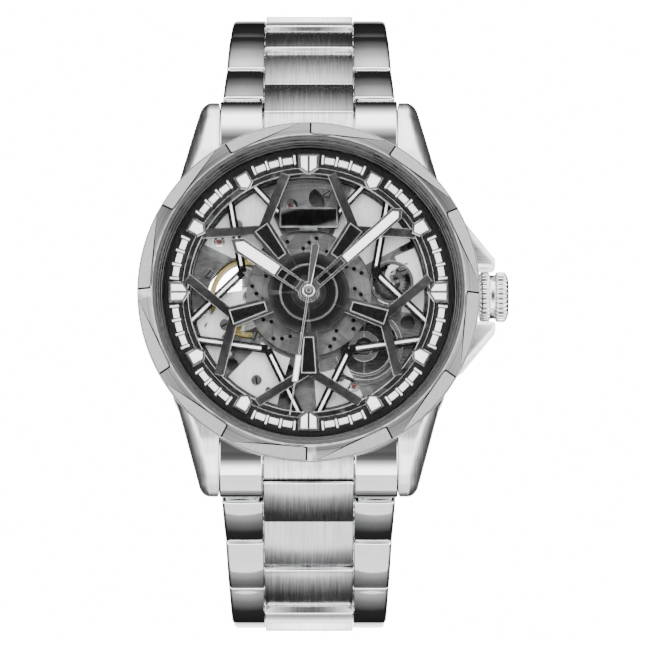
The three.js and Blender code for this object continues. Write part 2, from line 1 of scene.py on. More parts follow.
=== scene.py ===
"""Looks for a skeleton wristwatch: steel case and bracelet, open dial, visible movement.

Everything is worked out in watch millimetres: x to 3 o'clock, y to 12 o'clock and z out of the
dial, from the centre of the rear crystal's outer face. place() turns that into the frame's metres.
"""
import math

import bmesh
import bpy
import numpy as np
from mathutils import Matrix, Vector
from mathutils.geometry import delaunay_2d_cdt


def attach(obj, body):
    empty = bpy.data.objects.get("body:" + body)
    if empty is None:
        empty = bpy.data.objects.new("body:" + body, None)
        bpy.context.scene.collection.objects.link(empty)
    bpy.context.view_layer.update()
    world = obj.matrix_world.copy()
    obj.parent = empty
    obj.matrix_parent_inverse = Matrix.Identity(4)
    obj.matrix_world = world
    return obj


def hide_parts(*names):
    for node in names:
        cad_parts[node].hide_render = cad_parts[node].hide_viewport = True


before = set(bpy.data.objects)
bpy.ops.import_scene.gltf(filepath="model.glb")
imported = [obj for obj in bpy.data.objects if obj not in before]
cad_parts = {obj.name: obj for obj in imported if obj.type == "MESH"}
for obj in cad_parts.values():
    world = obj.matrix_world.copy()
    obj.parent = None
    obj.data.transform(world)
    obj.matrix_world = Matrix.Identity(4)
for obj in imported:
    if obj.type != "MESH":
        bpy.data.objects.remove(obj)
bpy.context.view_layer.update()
MM = 0.001

# ------------------------------------------------------------------ meshes from arrays


def place(points):
    """Watch millimetres to frame metres: (x, y, z) becomes (x, -z, y)."""
    points = np.asarray(points, float).reshape(-1, 3)
    return np.column_stack([points[:, 0], -points[:, 2], points[:, 1]]) * MM


def clock(radius, degrees):
    """A point at a radius and an angle clockwise from 12 o'clock."""
    angle = np.radians(degrees)
    return np.stack([radius * np.sin(angle), radius * np.cos(angle)], -1)


def turn(points, degrees):
    """Turns the first two columns clockwise about the dial's centre."""
    points = np.array(points, float)
    c, s = math.cos(math.radians(degrees)), math.sin(math.radians(degrees))
    x, y = points[:, 0].copy(), points[:, 1].copy()
    points[:, 0] = x * c + y * s
    points[:, 1] = y * c - x * s
    return points


def grid(points, close_u=False, close_v=False):
    """Four-sided faces over a grid of points, joined end to end where it closes."""
    rows, cols = points.shape[:2]
    u = np.arange(rows if close_u else rows - 1)
    v = np.arange(cols if close_v else cols - 1)
    a, b = np.meshgrid(u, v, indexing="ij")
    a2, b2 = (a + 1) % rows, (b + 1) % cols
    quads = np.stack([a * cols + b, a2 * cols + b, a2 * cols + b2, a * cols + b2], -1)
    return points.reshape(-1, 3), quads.reshape(-1, 4).tolist()


def merge(parts):
    """Several (points, faces) pairs as one."""
    points, faces, start = [], [], 0
    for part_points, part_faces in parts:
        points.append(np.asarray(part_points, float).reshape(-1, 3))
        faces += [tuple(i + start for i in face) for face in part_faces]
        start += len(points[-1])
    return np.vstack(points), faces


def lathe(profile, steps=144, centre=(0, 0)):
    """A [radius, z] outline turned about the z axis. It closes on itself or ends on the axis."""
    profile = np.asarray(profile, float)
    angles = np.linspace(0, 2 * np.pi, steps, endpoint=False)[:, None]
    r, z = profile[:, 0], profile[:, 1]
    shell = np.stack([centre[0] + r * np.sin(angles), centre[1] + r * np.cos(angles), z + 0 * angles], -1)
    return grid(shell, close_u=True, close_v=bool(r[0] > 0))


def tube(rings):
    """Closed rings of points joined one to the next, with a flat face over each end."""
    points, faces = grid(rings, close_v=True)
    count, cols = rings.shape[:2]
    faces += [tuple(range(cols)), tuple(range((count - 1) * cols, count * cols))]
    return points, faces


def turned(part, degrees):
    """A (points, faces) pair turned clockwise about the dial's centre."""
    return turn(part[0], degrees), part[1]


def inset(outline, distance):
    """An outline moved inwards by a distance, each corner along its mitre."""
    outline = np.asarray(outline, float)
    along = np.roll(outline, -1, 0) - outline
    along /= np.linalg.norm(along, axis=1)[:, None]
    inward = np.stack([-along[:, 1], along[:, 0]], -1)
    before = np.roll(inward, 1, 0)
    share = 1 + (inward * before).sum(1)
    return outline + distance * (inward + before) / np.maximum(share, 0.35)[:, None]


def slab(outline, levels):
    """An outline carried through levels of (inset, height), flat at its first and last level."""
    rings = [np.column_stack([inset(outline, d), np.full(len(outline), h)]) for d, h in levels]
    return tube(np.array(rings))


def block(outline, low, high, edge=0.06):
    """A slab whose upper edge is bevelled."""
    return slab(outline, [(0, low), (0, high - edge), (edge, high)])


def rectangle(half_width, start, end):
    """An upright rectangle about the y axis."""
    return np.array([[-half_width, start], [half_width, start], [half_width, end], [-half_width, end]])


def circle(radius, centre=(0, 0), steps=48):
    """A circle as an outline of equal steps."""
    angles = np.linspace(0, 2 * np.pi, steps, endpoint=False)
    return np.stack([centre[0] + radius * np.cos(angles), centre[1] + radius * np.sin(angles)], -1)


def strap(start, end, width):
    """The outline of a straight bar between two points."""
    start, end = np.asarray(start, float), np.asarray(end, float)
    along = (end - start) / np.linalg.norm(end - start)
    side = np.array([along[1], -along[0]]) * width / 2
    return np.array([start + side, end + side, end - side, start - side])


def inside(points, loop):
    """Which points an outline encloses: those with an odd number of its edges to their right."""
    x, y = points[:, 0][:, None], points[:, 1][:, None]
    x1, y1 = loop[:, 0], loop[:, 1]
    x2, y2 = np.roll(x1, -1), np.roll(y1, -1)
    with np.errstate(divide="ignore", invalid="ignore"):
        crossing = ((y1 > y) != (y2 > y)) & (x < (x2 - x1) * (y - y1) / (y2 - y1) + x1)
    return crossing.sum(1) % 2 == 1


def sheet_part(solid_loops, cut_loops, low, high):
    """A flat plate that covers every solid outline and leaves out every cut one."""
    loops = [np.asarray(loop, float) for loop in list(solid_loops) + list(cut_loops)]
    corners = np.vstack(loops)
    edges, start = [], 0
    for loop in loops:
        edges += [(start + i, start + (i + 1) % len(loop)) for i in range(len(loop))]
        start += len(loop)
    flat, _, triangles, *_ = delaunay_2d_cdt([Vector(p) for p in corners], edges, [], 0, 1e-5)
    flat = np.array([tuple(p) for p in flat])
    triangles = np.array(triangles)
    middle = flat[triangles].mean(1)
    keep = np.any([inside(middle, loop) for loop in loops[:len(solid_loops)]], axis=0)
    for loop in loops[len(solid_loops):]:
        keep &= ~inside(middle, loop)
    triangles = triangles[keep]
    directed = {(a, b) for t in triangles.tolist() for a, b in ((t[0], t[1]), (t[1], t[2]), (t[2], t[0]))}
    rim = [(a, b) for a, b in directed if (b, a) not in directed]
    count = len(flat)
    points = np.vstack([np.column_stack([flat, np.full(count, low)]),
                        np.column_stack([flat, np.full(count, high)])])
    faces = (triangles + count).tolist() + triangles[:, ::-1].tolist()
    faces += [(a, b, b + count, a + count) for a, b in sorted(rim)]
    return points, faces


def build(name, part, material, body, hides=(), bevel=0, sharp=32, edges=None):
    """Puts a part into a mesh with its faces outwards, and fixes it to its body.

    bevel is the width of its bevelled edges in mm, and edges a second material for them.
    """
    points, faces = part
    mesh = bpy.data.meshes.new(name)
    mesh.from_pydata(place(points).tolist(), [], faces)
    work = bmesh.new()
    work.from_mesh(mesh)
    bmesh.ops.remove_doubles(work, verts=work.verts, dist=2e-7)
    loose = [v for v in work.verts if not v.link_faces]
    bmesh.ops.delete(work, geom=loose, context="VERTS")
    bmesh.ops.dissolve_degenerate(work, edges=work.edges, dist=1e-7)
    bmesh.ops.recalc_face_normals(work, faces=work.faces)
    work.to_mesh(mesh)
    work.free()
    mesh.polygons.foreach_set("use_smooth", [True] * len(mesh.polygons))
    mesh.set_sharp_from_angle(angle=math.radians(sharp))
    mesh.materials.append(material)
    piece = bpy.data.objects.new(name, mesh)
    bpy.context.scene.collection.objects.link(piece)
    if bevel:
        edge = piece.modifiers.new("edges", "BEVEL")
        edge.width = bevel * MM
        edge.segments = 2
        edge.limit_method = "ANGLE"
        edge.angle_limit = math.radians(40)
        edge.harden_normals = True
        if edges:
            mesh.materials.append(edges)
            edge.material = 1
    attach(piece, body)
    for node in hides:
        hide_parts(node)
    return piece


# ------------------------------------------------------------------ node groups and materials


def new_group(name, inputs, outputs):
    """An empty shader group with named sockets: inputs are (name, kind, value), outputs (name, kind)."""
    group = bpy.data.node_groups.new(name, "ShaderNodeTree")
    for label, kind, value in inputs:
        socket = group.interface.new_socket(label, in_out="INPUT", socket_type=kind)
        socket.default_value = value
    for label, kind in outputs:
        group.interface.new_socket(label, in_out="OUTPUT", socket_type=kind)
    return group, group.nodes.new("NodeGroupInput"), group.nodes.new("NodeGroupOutput")


def math_node(tree, operation, first, second=None):
    node = tree.nodes.new("ShaderNodeMath")
    node.operation = operation
    for socket, value in zip(node.inputs, (first, second)):
        if isinstance(value, bpy.types.NodeSocket):
            tree.links.new(value, socket)
        elif value is not None:
            socket.default_value = value
    return node.outputs[0]


def noise_node(tree, vector, scale, detail=3.0):
    node = tree.nodes.new("ShaderNodeTexNoise")
    node.inputs["Detail"].default_value = detail
    tree.links.new(vector, node.inputs["Vector"])
    if isinstance(scale, bpy.types.NodeSocket):
        tree.links.new(scale, node.inputs["Scale"])
    else:
        node.inputs["Scale"].default_value = scale
    return node.outputs["Fac"]


def straight_grain():
    """Brushing in straight lines: noise drawn out by Stretch, in repeats per metre along X, Y, Z."""
    group, given, out = new_group("straight_grain", [("Stretch", "NodeSocketVector", (1, 1, 1))],
                                  [("Grain", "NodeSocketFloat"), ("Cloud", "NodeSocketFloat")])
    coords = group.nodes.new("ShaderNodeTexCoord")
    scaled = group.nodes.new("ShaderNodeVectorMath")
    scaled.operation = "MULTIPLY"
    group.links.new(coords.outputs["Object"], scaled.inputs[0])
    group.links.new(given.outputs["Stretch"], scaled.inputs[1])
    group.links.new(noise_node(group, scaled.outputs[0], 1.0), out.inputs["Grain"])
    group.links.new(noise_node(group, coords.outputs["Object"], 160.0, 2.0), out.inputs["Cloud"])
    return group


def turned_grain():
    """Lathe marks: noise that depends on the distance from the dial's axis, in rings per metre."""
    group, given, out = new_group("turned_grain", [("Rings", "NodeSocketFloat", 5000.0)],
                                  [("Grain", "NodeSocketFloat"), ("Cloud", "NodeSocketFloat")])
    coords = group.nodes.new("ShaderNodeTexCoord")
    flat = group.nodes.new("ShaderNodeVectorMath")
    flat.operation = "MULTIPLY"
    flat.inputs[1].default_value = (1, 0, 1)
    group.links.new(coords.outputs["Object"], flat.inputs[0])
    length = group.nodes.new("ShaderNodeVectorMath")
    length.operation = "LENGTH"
    group.links.new(flat.outputs[0], length.inputs[0])
    radius = group.nodes.new("ShaderNodeCombineXYZ")
    group.links.new(math_node(group, "MULTIPLY", length.outputs["Value"], given.outputs["Rings"]),
                    radius.inputs[0])
    group.links.new(noise_node(group, radius.outputs[0], 1.0), out.inputs["Grain"])
    group.links.new(noise_node(group, coords.outputs["Object"], 160.0, 2.0), out.inputs["Cloud"])
    return group


def painted_edge_highlight():
    """A painted highlight mask that is 1 on sharp outer edges, from the surface's pointiness, broken up by
    noise.
    """
    group, given, out = new_group("painted_edge_highlight", [("Amount", "NodeSocketFloat", 1.0)],
                                  [("Mask", "NodeSocketFloat")])
    geometry = group.nodes.new("ShaderNodeNewGeometry")
    coords = group.nodes.new("ShaderNodeTexCoord")
    sharp = group.nodes.new("ShaderNodeMapRange")
    sharp.inputs["From Min"].default_value = 0.505
    sharp.inputs["From Max"].default_value = 0.56
    group.links.new(geometry.outputs["Pointiness"], sharp.inputs["Value"])
    broken = math_node(group, "MULTIPLY", sharp.outputs[0],
                       noise_node(group, coords.outputs["Object"], 900.0))
    group.links.new(math_node(group, "MULTIPLY", broken, given.outputs["Amount"]), out.inputs["Mask"])
    return group


MIX_FIRST, MIX_SECOND, MIX_RESULT = 6, 7, 2  # a Mix node's colour sockets
GROUPS = {"straight": straight_grain(), "turned": turned_grain(), "edge_highlight_amount": painted_edge_highlight()}


def finish_material(name, dark, light, rough, metal=1.0, grain=None, bump=0.0, spread=0.1, edge_highlight_amount=0.0, coat=0.0,
                    alpha=1.0, glow=0.0, through=0.0, sheen=0.5):
    """A surface whose colour runs from dark to light with its grain, and is painted lighter on its sharp
    outer edges as a painted highlight.

    rough is the mean roughness and spread how far the grain moves it; bump is in metres.
    grain is a (x, y, z) stretch for straight brushing, a number of rings per metre for turning,
    or None for a plain skin that only clouds a little.
    """
    material = bpy.data.materials.new(name)
    material.use_nodes = True
    tree = material.node_tree
    shader = tree.nodes["Principled BSDF"]
    shader.inputs["Metallic"].default_value = metal
    shader.inputs["Coat Weight"].default_value = coat
    shader.inputs["Coat Roughness"].default_value = 0.08
    shader.inputs["Alpha"].default_value = alpha
    shader.inputs["Transmission Weight"].default_value = through
    shader.inputs["Specular IOR Level"].default_value = sheen
    marks = tree.nodes.new("ShaderNodeGroup")
    if isinstance(grain, (int, float)):
        marks.node_tree = GROUPS["turned"]
        marks.inputs["Rings"].default_value = grain
    else:
        marks.node_tree = GROUPS["straight"]
        marks.inputs["Stretch"].default_value = grain or (700, 700, 700)
    ramp = tree.nodes.new("ShaderNodeValToRGB")
    ramp.color_ramp.elements[0].position = 0.3
    ramp.color_ramp.elements[0].color = (*dark, 1)
    ramp.color_ramp.elements[1].position = 0.7
    ramp.color_ramp.elements[1].color = (*light, 1)
    tree.links.new(marks.outputs["Grain"], ramp.inputs[0])
    edge_highlight_mask = tree.nodes.new("ShaderNodeGroup")
    edge_highlight_mask.node_tree = GROUPS["edge_highlight_amount"]
    edge_highlight_mask.inputs["Amount"].default_value = edge_highlight_amount
    bright = tree.nodes.new("ShaderNodeMix")
    bright.data_type = "RGBA"
    # the near-white colour of the painted edge highlight, laid on where the edge mask is 1
    bright.inputs[MIX_SECOND].default_value = (0.86, 0.87, 0.88, 1)
    tree.links.new(edge_highlight_mask.outputs["Mask"], bright.inputs[0])
    tree.links.new(ramp.outputs["Color"], bright.inputs[MIX_FIRST])
    tree.links.new(bright.outputs[MIX_RESULT], shader.inputs["Base Color"])
    cloud = math_node(tree, "MULTIPLY", math_node(tree, "SUBTRACT", marks.outputs["Cloud"], 0.5), spread)
    streak = math_node(tree, "MULTIPLY", math_node(tree, "SUBTRACT", marks.outputs["Grain"], 0.5), spread)
    total = math_node(tree, "ADD", math_node(tree, "ADD", cloud, streak), rough)
    tree.links.new(math_node(tree, "MAXIMUM", total, 0.02), shader.inputs["Roughness"])
    if bump:
        relief = tree.nodes.new("ShaderNodeBump")
        relief.inputs["Distance"].default_value = bump
        relief.inputs["Strength"].default_value = 1.0
        tree.links.new(marks.outputs["Grain"], relief.inputs["Height"])
        tree.links.new(relief.outputs["Normal"], shader.inputs["Normal"])
    # glow makes the surface emit its own colour: painted light, as these parts are no lamps
    if glow:
        shader.inputs["Emission Strength"].default_value = glow
        tree.links.new(ramp.outputs["Color"], shader.inputs["Emission Color"])
    return material


def grey(value):
    """A neutral grey that leans very slightly to blue, as steel does."""
    return (value, value * 1.005, value * 1.015)


# how often the brushing repeats in a metre along the frame's X, Y and Z
ALONG_STRAP = (5200, 160, 160)
ACROSS_CASE = (160, 160, 5200)
FINE_BLAST = (2400, 2400, 2400)
brushed_strap = finish_material("brushed_strap", grey(0.46), grey(0.72), 0.17, grain=ALONG_STRAP, bump=3e-6,
                                edge_highlight_amount=0.5)
# The end link's stub is the strap's brushed steel painted much darker: painted shade.
stub_steel_painted_shade = finish_material("stub_steel_painted_shade", grey(0.10), grey(0.34), 0.2, grain=ALONG_STRAP, bump=3e-6,
                               edge_highlight_amount=0.5)
polished = finish_material("polished_steel", grey(0.62), grey(0.68), 0.05, spread=0.03, edge_highlight_amount=0.2)
brushed_case = finish_material("brushed_case", grey(0.48), grey(0.68), 0.25, grain=ALONG_STRAP, bump=3e-6,
                               edge_highlight_amount=0.5)
brushed_guard = finish_material("brushed_guard", grey(0.50), grey(0.70), 0.24, grain=ACROSS_CASE, bump=3e-6,
                                edge_highlight_amount=0.5)
bezel_steel = finish_material("bezel_steel", grey(0.05), grey(0.17), 0.16, grain=6200.0, bump=2e-6, edge_highlight_amount=0.4)
inlay_grey = finish_material("inlay_grey", grey(0.24), grey(0.29), 0.62, metal=0.1, sheen=0.2,
                             grain=(2600, 2600, 2600), bump=1e-6)
# Black for the bezel's seams, which are dark joints, and for painted shade: wrench notches, screw slots and
# under the perforated disc.
seam_black_and_painted_shade = finish_material("seam_black_and_painted_shade", grey(0.002), grey(0.004), 0.8, metal=0.0, sheen=0.05)
rehaut_steel = finish_material("rehaut_steel", grey(0.035), grey(0.14), 0.3, grain=5200.0, bump=3e-6)
chapter_black = finish_material("chapter_black", grey(0.004), grey(0.009), 0.5, metal=0.0, grain=3800.0,
                                sheen=0.12)
# Lighter steel for the open dial's bevelled edges: a painted highlight along the bevels.
bevel_painted_highlight = finish_material("bevel_painted_highlight", grey(0.30), grey(0.46), 0.22)
dial_gunmetal = finish_material("dial_gunmetal", grey(0.010), grey(0.022), 0.32, grain=FINE_BLAST, edge_highlight_amount=0.2)
hub_gunmetal = finish_material("hub_gunmetal", grey(0.012), grey(0.042), 0.3, grain=5600.0, bump=4e-6,
                               edge_highlight_amount=0.2)
strut_black = finish_material("strut_black", grey(0.001), grey(0.003), 0.5, metal=0.0, grain=FINE_BLAST,
                              sheen=0.06)
pocket_grey = finish_material("pocket_grey", grey(0.010), grey(0.018), 0.4, metal=1.0, grain=FINE_BLAST,
                              sheen=0.2)
# white print with a little painted glow, so it stays bright where light is weak
white_print_painted_glow = finish_material("white_print_painted_glow", grey(0.80), grey(0.88), 0.5, metal=0.0, glow=0.08)
# the lume's glow is painted light: it emits its colour to stay bright white
lume = finish_material("white_lume_painted_glow", grey(0.86), grey(0.93), 0.55, metal=0.0, grain=(4200, 4200, 4200),
                       bump=4e-6, glow=0.12)
disc_steel = finish_material("disc_steel", grey(0.05), grey(0.14), 0.36, grain=5200.0, bump=3e-6, edge_highlight_amount=0.3)
rhodium = finish_material("rhodium", grey(0.05), grey(0.17), 0.3, grain=(900, 900, 5200), bump=2e-6, edge_highlight_amount=0.5)
rhodium_light = finish_material("rhodium_light", grey(0.78), grey(0.92), 0.45, grain=(5200, 900, 900),
                                bump=2e-6, edge_highlight_amount=0.4)
plate_dark = finish_material("plate_dark", grey(0.002), grey(0.008), 0.4, grain=(3000, 900, 900), bump=2e-6,
                             edge_highlight_amount=0.4)
gilt = finish_material("gilt_brass", (0.80, 0.62, 0.20), (0.95, 0.78, 0.34), 0.3, grain=3800.0, bump=1e-6,
                       edge_highlight_amount=0.2)
blue_steel = finish_material("spring_steel", (0.30, 0.32, 0.38), (0.42, 0.45, 0.52), 0.18)
ruby = finish_material("ruby", (0.05, 0.003, 0.004), (0.10, 0.006, 0.01), 0.08, metal=0.0, coat=0.3)
hand_steel = finish_material("hand_steel", grey(0.36), grey(0.46), 0.14, spread=0.05)
rubber = finish_material("gasket_rubber", grey(0.02), grey(0.035), 0.7, metal=0.0)
glass = finish_material("clear_crystal", grey(0.95), grey(0.99), 0.02, metal=0.0, spread=0.01, alpha=0.05,
                        through=1.0)

# ------------------------------------------------------------------ case

HEAD = "watch_head"
TAU = 2 * np.pi


def bezel_height(radius):
    """The bezel's sloping face: 11.2 mm at its inner edge and 10.15 mm at the rim."""
    return 11.2 - (radius - 19.35) * (11.2 - 10.15) / (20.8 - 19.35)


BEZEL_PROFILE = [
    (19.05, 9.05), (20.8, 9.05), (21.0, 9.25), (21.0, 9.95), (20.96, 10.06), (20.8, 10.15), (19.38, 11.18),
    (19.3, 11.26), (19.18, 11.3), (19.08, 11.27), (19.05, 11.2),
]
build("bezel_body", lathe(BEZEL_PROFILE, 240), bezel_steel, HEAD, ["bezel"])


def inlay(start, span, grow, low, high):
    """A wedge let into the bezel: full width at its start, its inner edge a chord that meets the rim.

    Across the wedge one parameter runs from the chord to the rim, along it the other follows the
    clock angle; top and bottom copies of that grid are joined round their edges.
    """
    angle = np.linspace(-grow * 2.6, span + grow * 3.2, 40)
    rim = 20.84 + grow * 0.5
    first, last = clock(19.42 - grow, 3.0), clock(20.84 + grow * 0.1, span + grow)
    along = last - first
    normal = np.array([along[1], -along[0]])
    ray = clock(1.0, angle)
    chord = (first @ normal) / (ray @ normal)
    chord = np.where(angle < 3.0, 19.42 - grow + 0.75 * np.clip((1.2 - angle) / 3.2, 0, 1) ** 2, chord)
    chord = np.minimum(chord, rim - 0.02)
    across = np.linspace(0, 1, 6)[None, :]
    radius = chord[:, None] * (1 - across) + rim * across
    flat = clock(radius, angle[:, None] + start)
    lift = bezel_height(radius)
    top = np.concatenate([flat, (lift + high)[..., None]], -1)
    bottom = np.concatenate([flat, (lift + low)[..., None]], -1)
    return tube(np.concatenate([top, bottom[:, ::-1]], axis=1))


STARTS = [30 * k + 1.0 for k in range(12)]
build("bezel_inlay_seams", merge([inlay(s, 25.6, 0.24, -0.1, 0.015) for s in STARTS]), seam_black_and_painted_shade, HEAD)
build("bezel_inlays", merge([inlay(s, 25.6, 0.0, -0.05, 0.035) for s in STARTS]), inlay_grey, HEAD)

CASE_BAND = [
    (18.0, 1.95), (16.5, 1.95), (16.5, 1.5), (19.4, 1.5), (20.0, 1.9), (20.2, 2.3), (20.2, 8.5),
    (20.05, 8.85), (19.7, 9.0), (18.0, 9.0),
]
build("case_band", lathe(CASE_BAND, 192), brushed_case, HEAD, ["case_middle"])


def lug(sign_x, sign_y):
    """A lug as a section carried outwards: flat top, rolled outer shoulder, rounded tip.

    The section's outer edge, top and bottom follow the distance from the dial's centre line.
    """
    y = np.concatenate([np.linspace(10, 23.2, 40), 23.2 + 1.35 * np.sin(np.linspace(0, np.pi / 2, 12)[1:])])
    tip = np.clip((y - 23.2) / 1.35, 0, 1)
    drop = 1 - np.sqrt(np.clip(1 - tip ** 2, 0, 1))
    outer = np.interp(y, [10, 12.5, 14, 18.6, 23.4, 24.6],
                      [17.0, 16.7, 16.0, 14.75, 13.45, 13.1]) - 0.9 * drop
    top = np.interp(y, [10, 14, 16, 18, 20, 22, 23.4, 24.6],
                    [9.0, 9.0, 8.75, 8.3, 7.55, 6.4, 5.3, 4.2]) - 1.0 * drop
    low = np.interp(y, [10, 18, 22.6, 24, 24.6], [1.5, 1.5, 0.95, 1.3, 1.7]) + 1.0 * drop
    bevel = np.minimum(np.interp(y, [10, 14, 18, 24.6], [0.9, 1.5, 1.9, 1.5]), (top - low) * 0.32)
    wall = np.maximum(10.97, np.sqrt(np.maximum(18.7 ** 2 - y ** 2, 0))) + 0.3 * drop
    lean = np.radians(np.interp(np.linspace(0, 1, 14), [0, 0.2, 1], [4, 50, 74]))
    out_share, fall_share = np.cumsum(np.cos(lean)), np.cumsum(np.sin(lean))
    bend = [(outer - bevel * (1 - a / out_share[-1]), top - bevel * b / out_share[-1])
            for a, b in zip(np.append(0, out_share), np.append(0, fall_share))]
    section = [
        (wall, low + 0.15), (wall, top - 0.15), (wall + 0.04, top - 0.04), (wall + 0.15, top), *bend,
        (outer, low + 0.5), (outer - 0.15, low + 0.15), (outer - 0.5, low), (wall + 0.15, low),
    ]
    return tube(np.stack([np.stack([x * sign_x, y * sign_y, z], -1) for x, z in section], 1))


build("case_lugs", merge([lug(a, b) for a in (-1, 1) for b in (-1, 1)]), brushed_case, HEAD,
      sharp=20)


def guard(sign):
    """A crown guard: its outline narrows to a point at the crown, its face slopes down outwards."""
    outline = np.array([[18.5, 3.35], [22.6, 3.35], [22.95, 3.6], [22.95, 4.35], [18.9, 9.3], [17.3, 10.2],
                        [16.6, 9.2]])
    if sign < 0:
        outline = (outline * [1, -1])[::-1]
    points, faces = slab(outline, [(0.45, 2.4), (0, 2.85), (0, 7.3), (0.35, 7.75), (0.5, 7.8)])
    points[:, 2] -= np.clip(points[:, 2] - 7.0, 0, 1) * np.clip(points[:, 0] - 20.0, 0, 3) * 0.32
    return points, faces


build("crown_guards", merge([guard(1), guard(-1)]), brushed_guard, HEAD)

build("crystal_glass", lathe([(0, 10.9), (18.7, 10.9), (18.7, 11.6), (18.6, 11.76), (18.3, 12.0), (0, 12.0)],
                             160),
      glass, HEAD, ["crystal"])
build("crystal_seal", lathe([(18.72, 10.9), (19.03, 10.9), (19.03, 11.22), (18.72, 11.22)], 160),
      rubber, HEAD, ["crystal_gasket"])
build("rehaut_body", lathe([
    (17.85, 9.05), (18.95, 9.05), (18.95, 10.85), (18.75, 10.85), (18.55, 10.3), (18.5, 10.28),
    (18.3, 9.8), (18.24, 9.78), (18.05, 9.35), (17.99, 9.33),
], 200), rehaut_steel, HEAD, ["rehaut_ring"])

CASEBACK_PROFILE = [
    (13.3, 0.15), (13.45, 0.0), (14.6, 0.0), (14.7, 0.08), (15.0, 0.08), (15.1, 0.0), (17.0, 0.0),
    (17.6, 0.5), (17.6, 1.45), (16.4, 1.45), (16.4, 1.9), (13.3, 1.9),
]
build("caseback_rim", lathe(CASEBACK_PROFILE, 192), bezel_steel, HEAD, ["caseback_ring"])


def wrench_notch_shade():
    """Six dark patches flush with the rear cover's face: painted shade that stands for the case wrench's
    recesses.
    """
    parts = []
    for k in range(6):
        outline = np.vstack([clock(16.1, np.linspace(-4, 4, 9) + 60 * k),
                             clock(17.15, np.linspace(4, -4, 9) + 60 * k)])
        parts.append(slab(outline[::-1], [(0, -0.004), (0.02, 0.3)]))
    return merge(parts)


build("caseback_notch_shade", wrench_notch_shade(), seam_black_and_painted_shade, HEAD)
build("caseback_window", lathe([(0, 0.02), (12.9, 0.02), (13.18, 0.2), (13.18, 1.3), (0, 1.3)], 144),
      glass, HEAD, ["caseback_crystal"])

# ------------------------------------------------------------------ crown

STEM_Z = 4.7


def fluted_crown():
    """A knurled knob: the radius at each station, less a rounded flute in its two gripping bands."""
    stations = np.array([
        (20.95, 0.6, 0), (20.95, 2.5, 0), (21.0, 2.75, 0), (21.15, 3.0, 1), (21.3, 3.08, 1),
        (22.1, 3.08, 1), (22.25, 2.95, 1), (22.3, 2.75, 0), (22.42, 2.7, 0), (22.85, 2.7, 0),
        (22.98, 2.75, 0), (23.05, 2.98, 1), (23.2, 3.08, 1), (24.05, 3.08, 1), (24.25, 2.95, 1),
        (24.4, 2.7, 0), (24.55, 2.4, 0), (24.6, 2.1, 0), (24.55, 1.9, 0), (24.55, 0.0, 0),
    ])
    teeth, fine = 30, 8
    angle = np.linspace(0, TAU, teeth * fine, endpoint=False)[:, None]
    flute = 0.24 * (0.5 + 0.5 * np.cos(angle * teeth)) ** 2
    radius = stations[:, 1] - flute * stations[:, 2]
    shell = np.stack([stations[:, 0] + 0 * angle, radius * np.sin(angle), STEM_Z + radius * np.cos(angle)],
                     -1)
    points, faces = grid(shell, close_u=True)
    cols = len(stations)
    faces.append(tuple(np.arange(teeth * fine) * cols))
    return points, faces


build("crown_knob", fluted_crown(), polished, "crown", ["crown"], sharp=40)

# ------------------------------------------------------------------ chapter ring, track and markers

build("chapter_base", lathe([(15.65, 8.3), (17.8, 8.3), (17.8, 8.88), (17.75, 8.9), (15.7, 8.9),
                             (15.65, 8.87)], 200),
      chapter_black, HEAD, ["chapter_ring"])


PRINT_LAYER = (8.88, 8.93)


def minute_track():
    """Four ticks and three blocks between each pair of hour markers."""
    parts = []
    for hour in range(12):
        for minute in (1, 2, 3, 4):
            tick = block(rectangle(0.12, 16.0, 17.1), *PRINT_LAYER, 0.01)
            parts.append(turned(tick, 30 * hour + 6 * minute))
        for minute in (1.5, 2.5, 3.5):
            dash = block(rectangle(0.58, 16.1, 16.82), *PRINT_LAYER, 0.01)
            parts.append(turned(dash, 30 * hour + 6 * minute))
    return merge(parts)


build("minute_track", minute_track(), white_print_painted_glow, HEAD)


def pentagon(half, outer, inner, tip):
    """A block on the 12 o'clock line with a point towards the centre: three radii and a half width."""
    return np.array([[0, tip], [half, inner], [half * 1.04, outer], [-half * 1.04, outer], [-half, inner]])


def hour_markers():
    """Steel blocks that point inwards, and the white fillings on them: two bars at 12, 3, 6 and 9."""
    frames, fillings = [], []
    for hour in range(12):
        large = hour % 3 == 0
        half, outer, inner, tip = (1.28, 17.15, 15.3, 14.5) if large else (0.93, 16.9, 15.25, 14.6)
        shape = pentagon(half, outer, inner, tip)
        rim = slab(shape, [(0, 8.85), (0, 9.2), (0.12, 9.32), (0.2, 9.32), (0.24, 9.25)])
        frames.append(turned(rim, 30 * hour))
        if large:
            for side in (-1, 1):
                bar = np.array([[0.14, 15.0], [0.92, 15.5], [0.96, 16.86], [0.14, 16.86]]) * [side, 1]
                fillings.append(turned(block(bar if side > 0 else bar[::-1], 9.2, 9.36, 0.05), 30 * hour))
        else:
            fillings.append(turned(block(inset(shape, 0.3), 9.2, 9.36, 0.05), 30 * hour))
    return merge(frames), merge(fillings)


marker_frames, marker_fillings = hour_markers()
build("hour_marker_frames", marker_frames, hand_steel, HEAD)
build("hour_marker_lume", marker_fillings, lume, HEAD)

# ------------------------------------------------------------------ open dial

SPOKES = (36, 108, 180, 252, 324)
FORK = 25.0
DIAL_LOW, DIAL_HIGH = 8.1, 8.8
STRUT_LOW, STRUT_HIGH = 7.5, 8.0


def spoke_outline(tip_half, root_half, start, end):
    """A bar on the 12 o'clock line that widens from its root to its tip."""
    return np.array([[-root_half, start], [root_half, start], [tip_half, end], [-tip_half, end]])


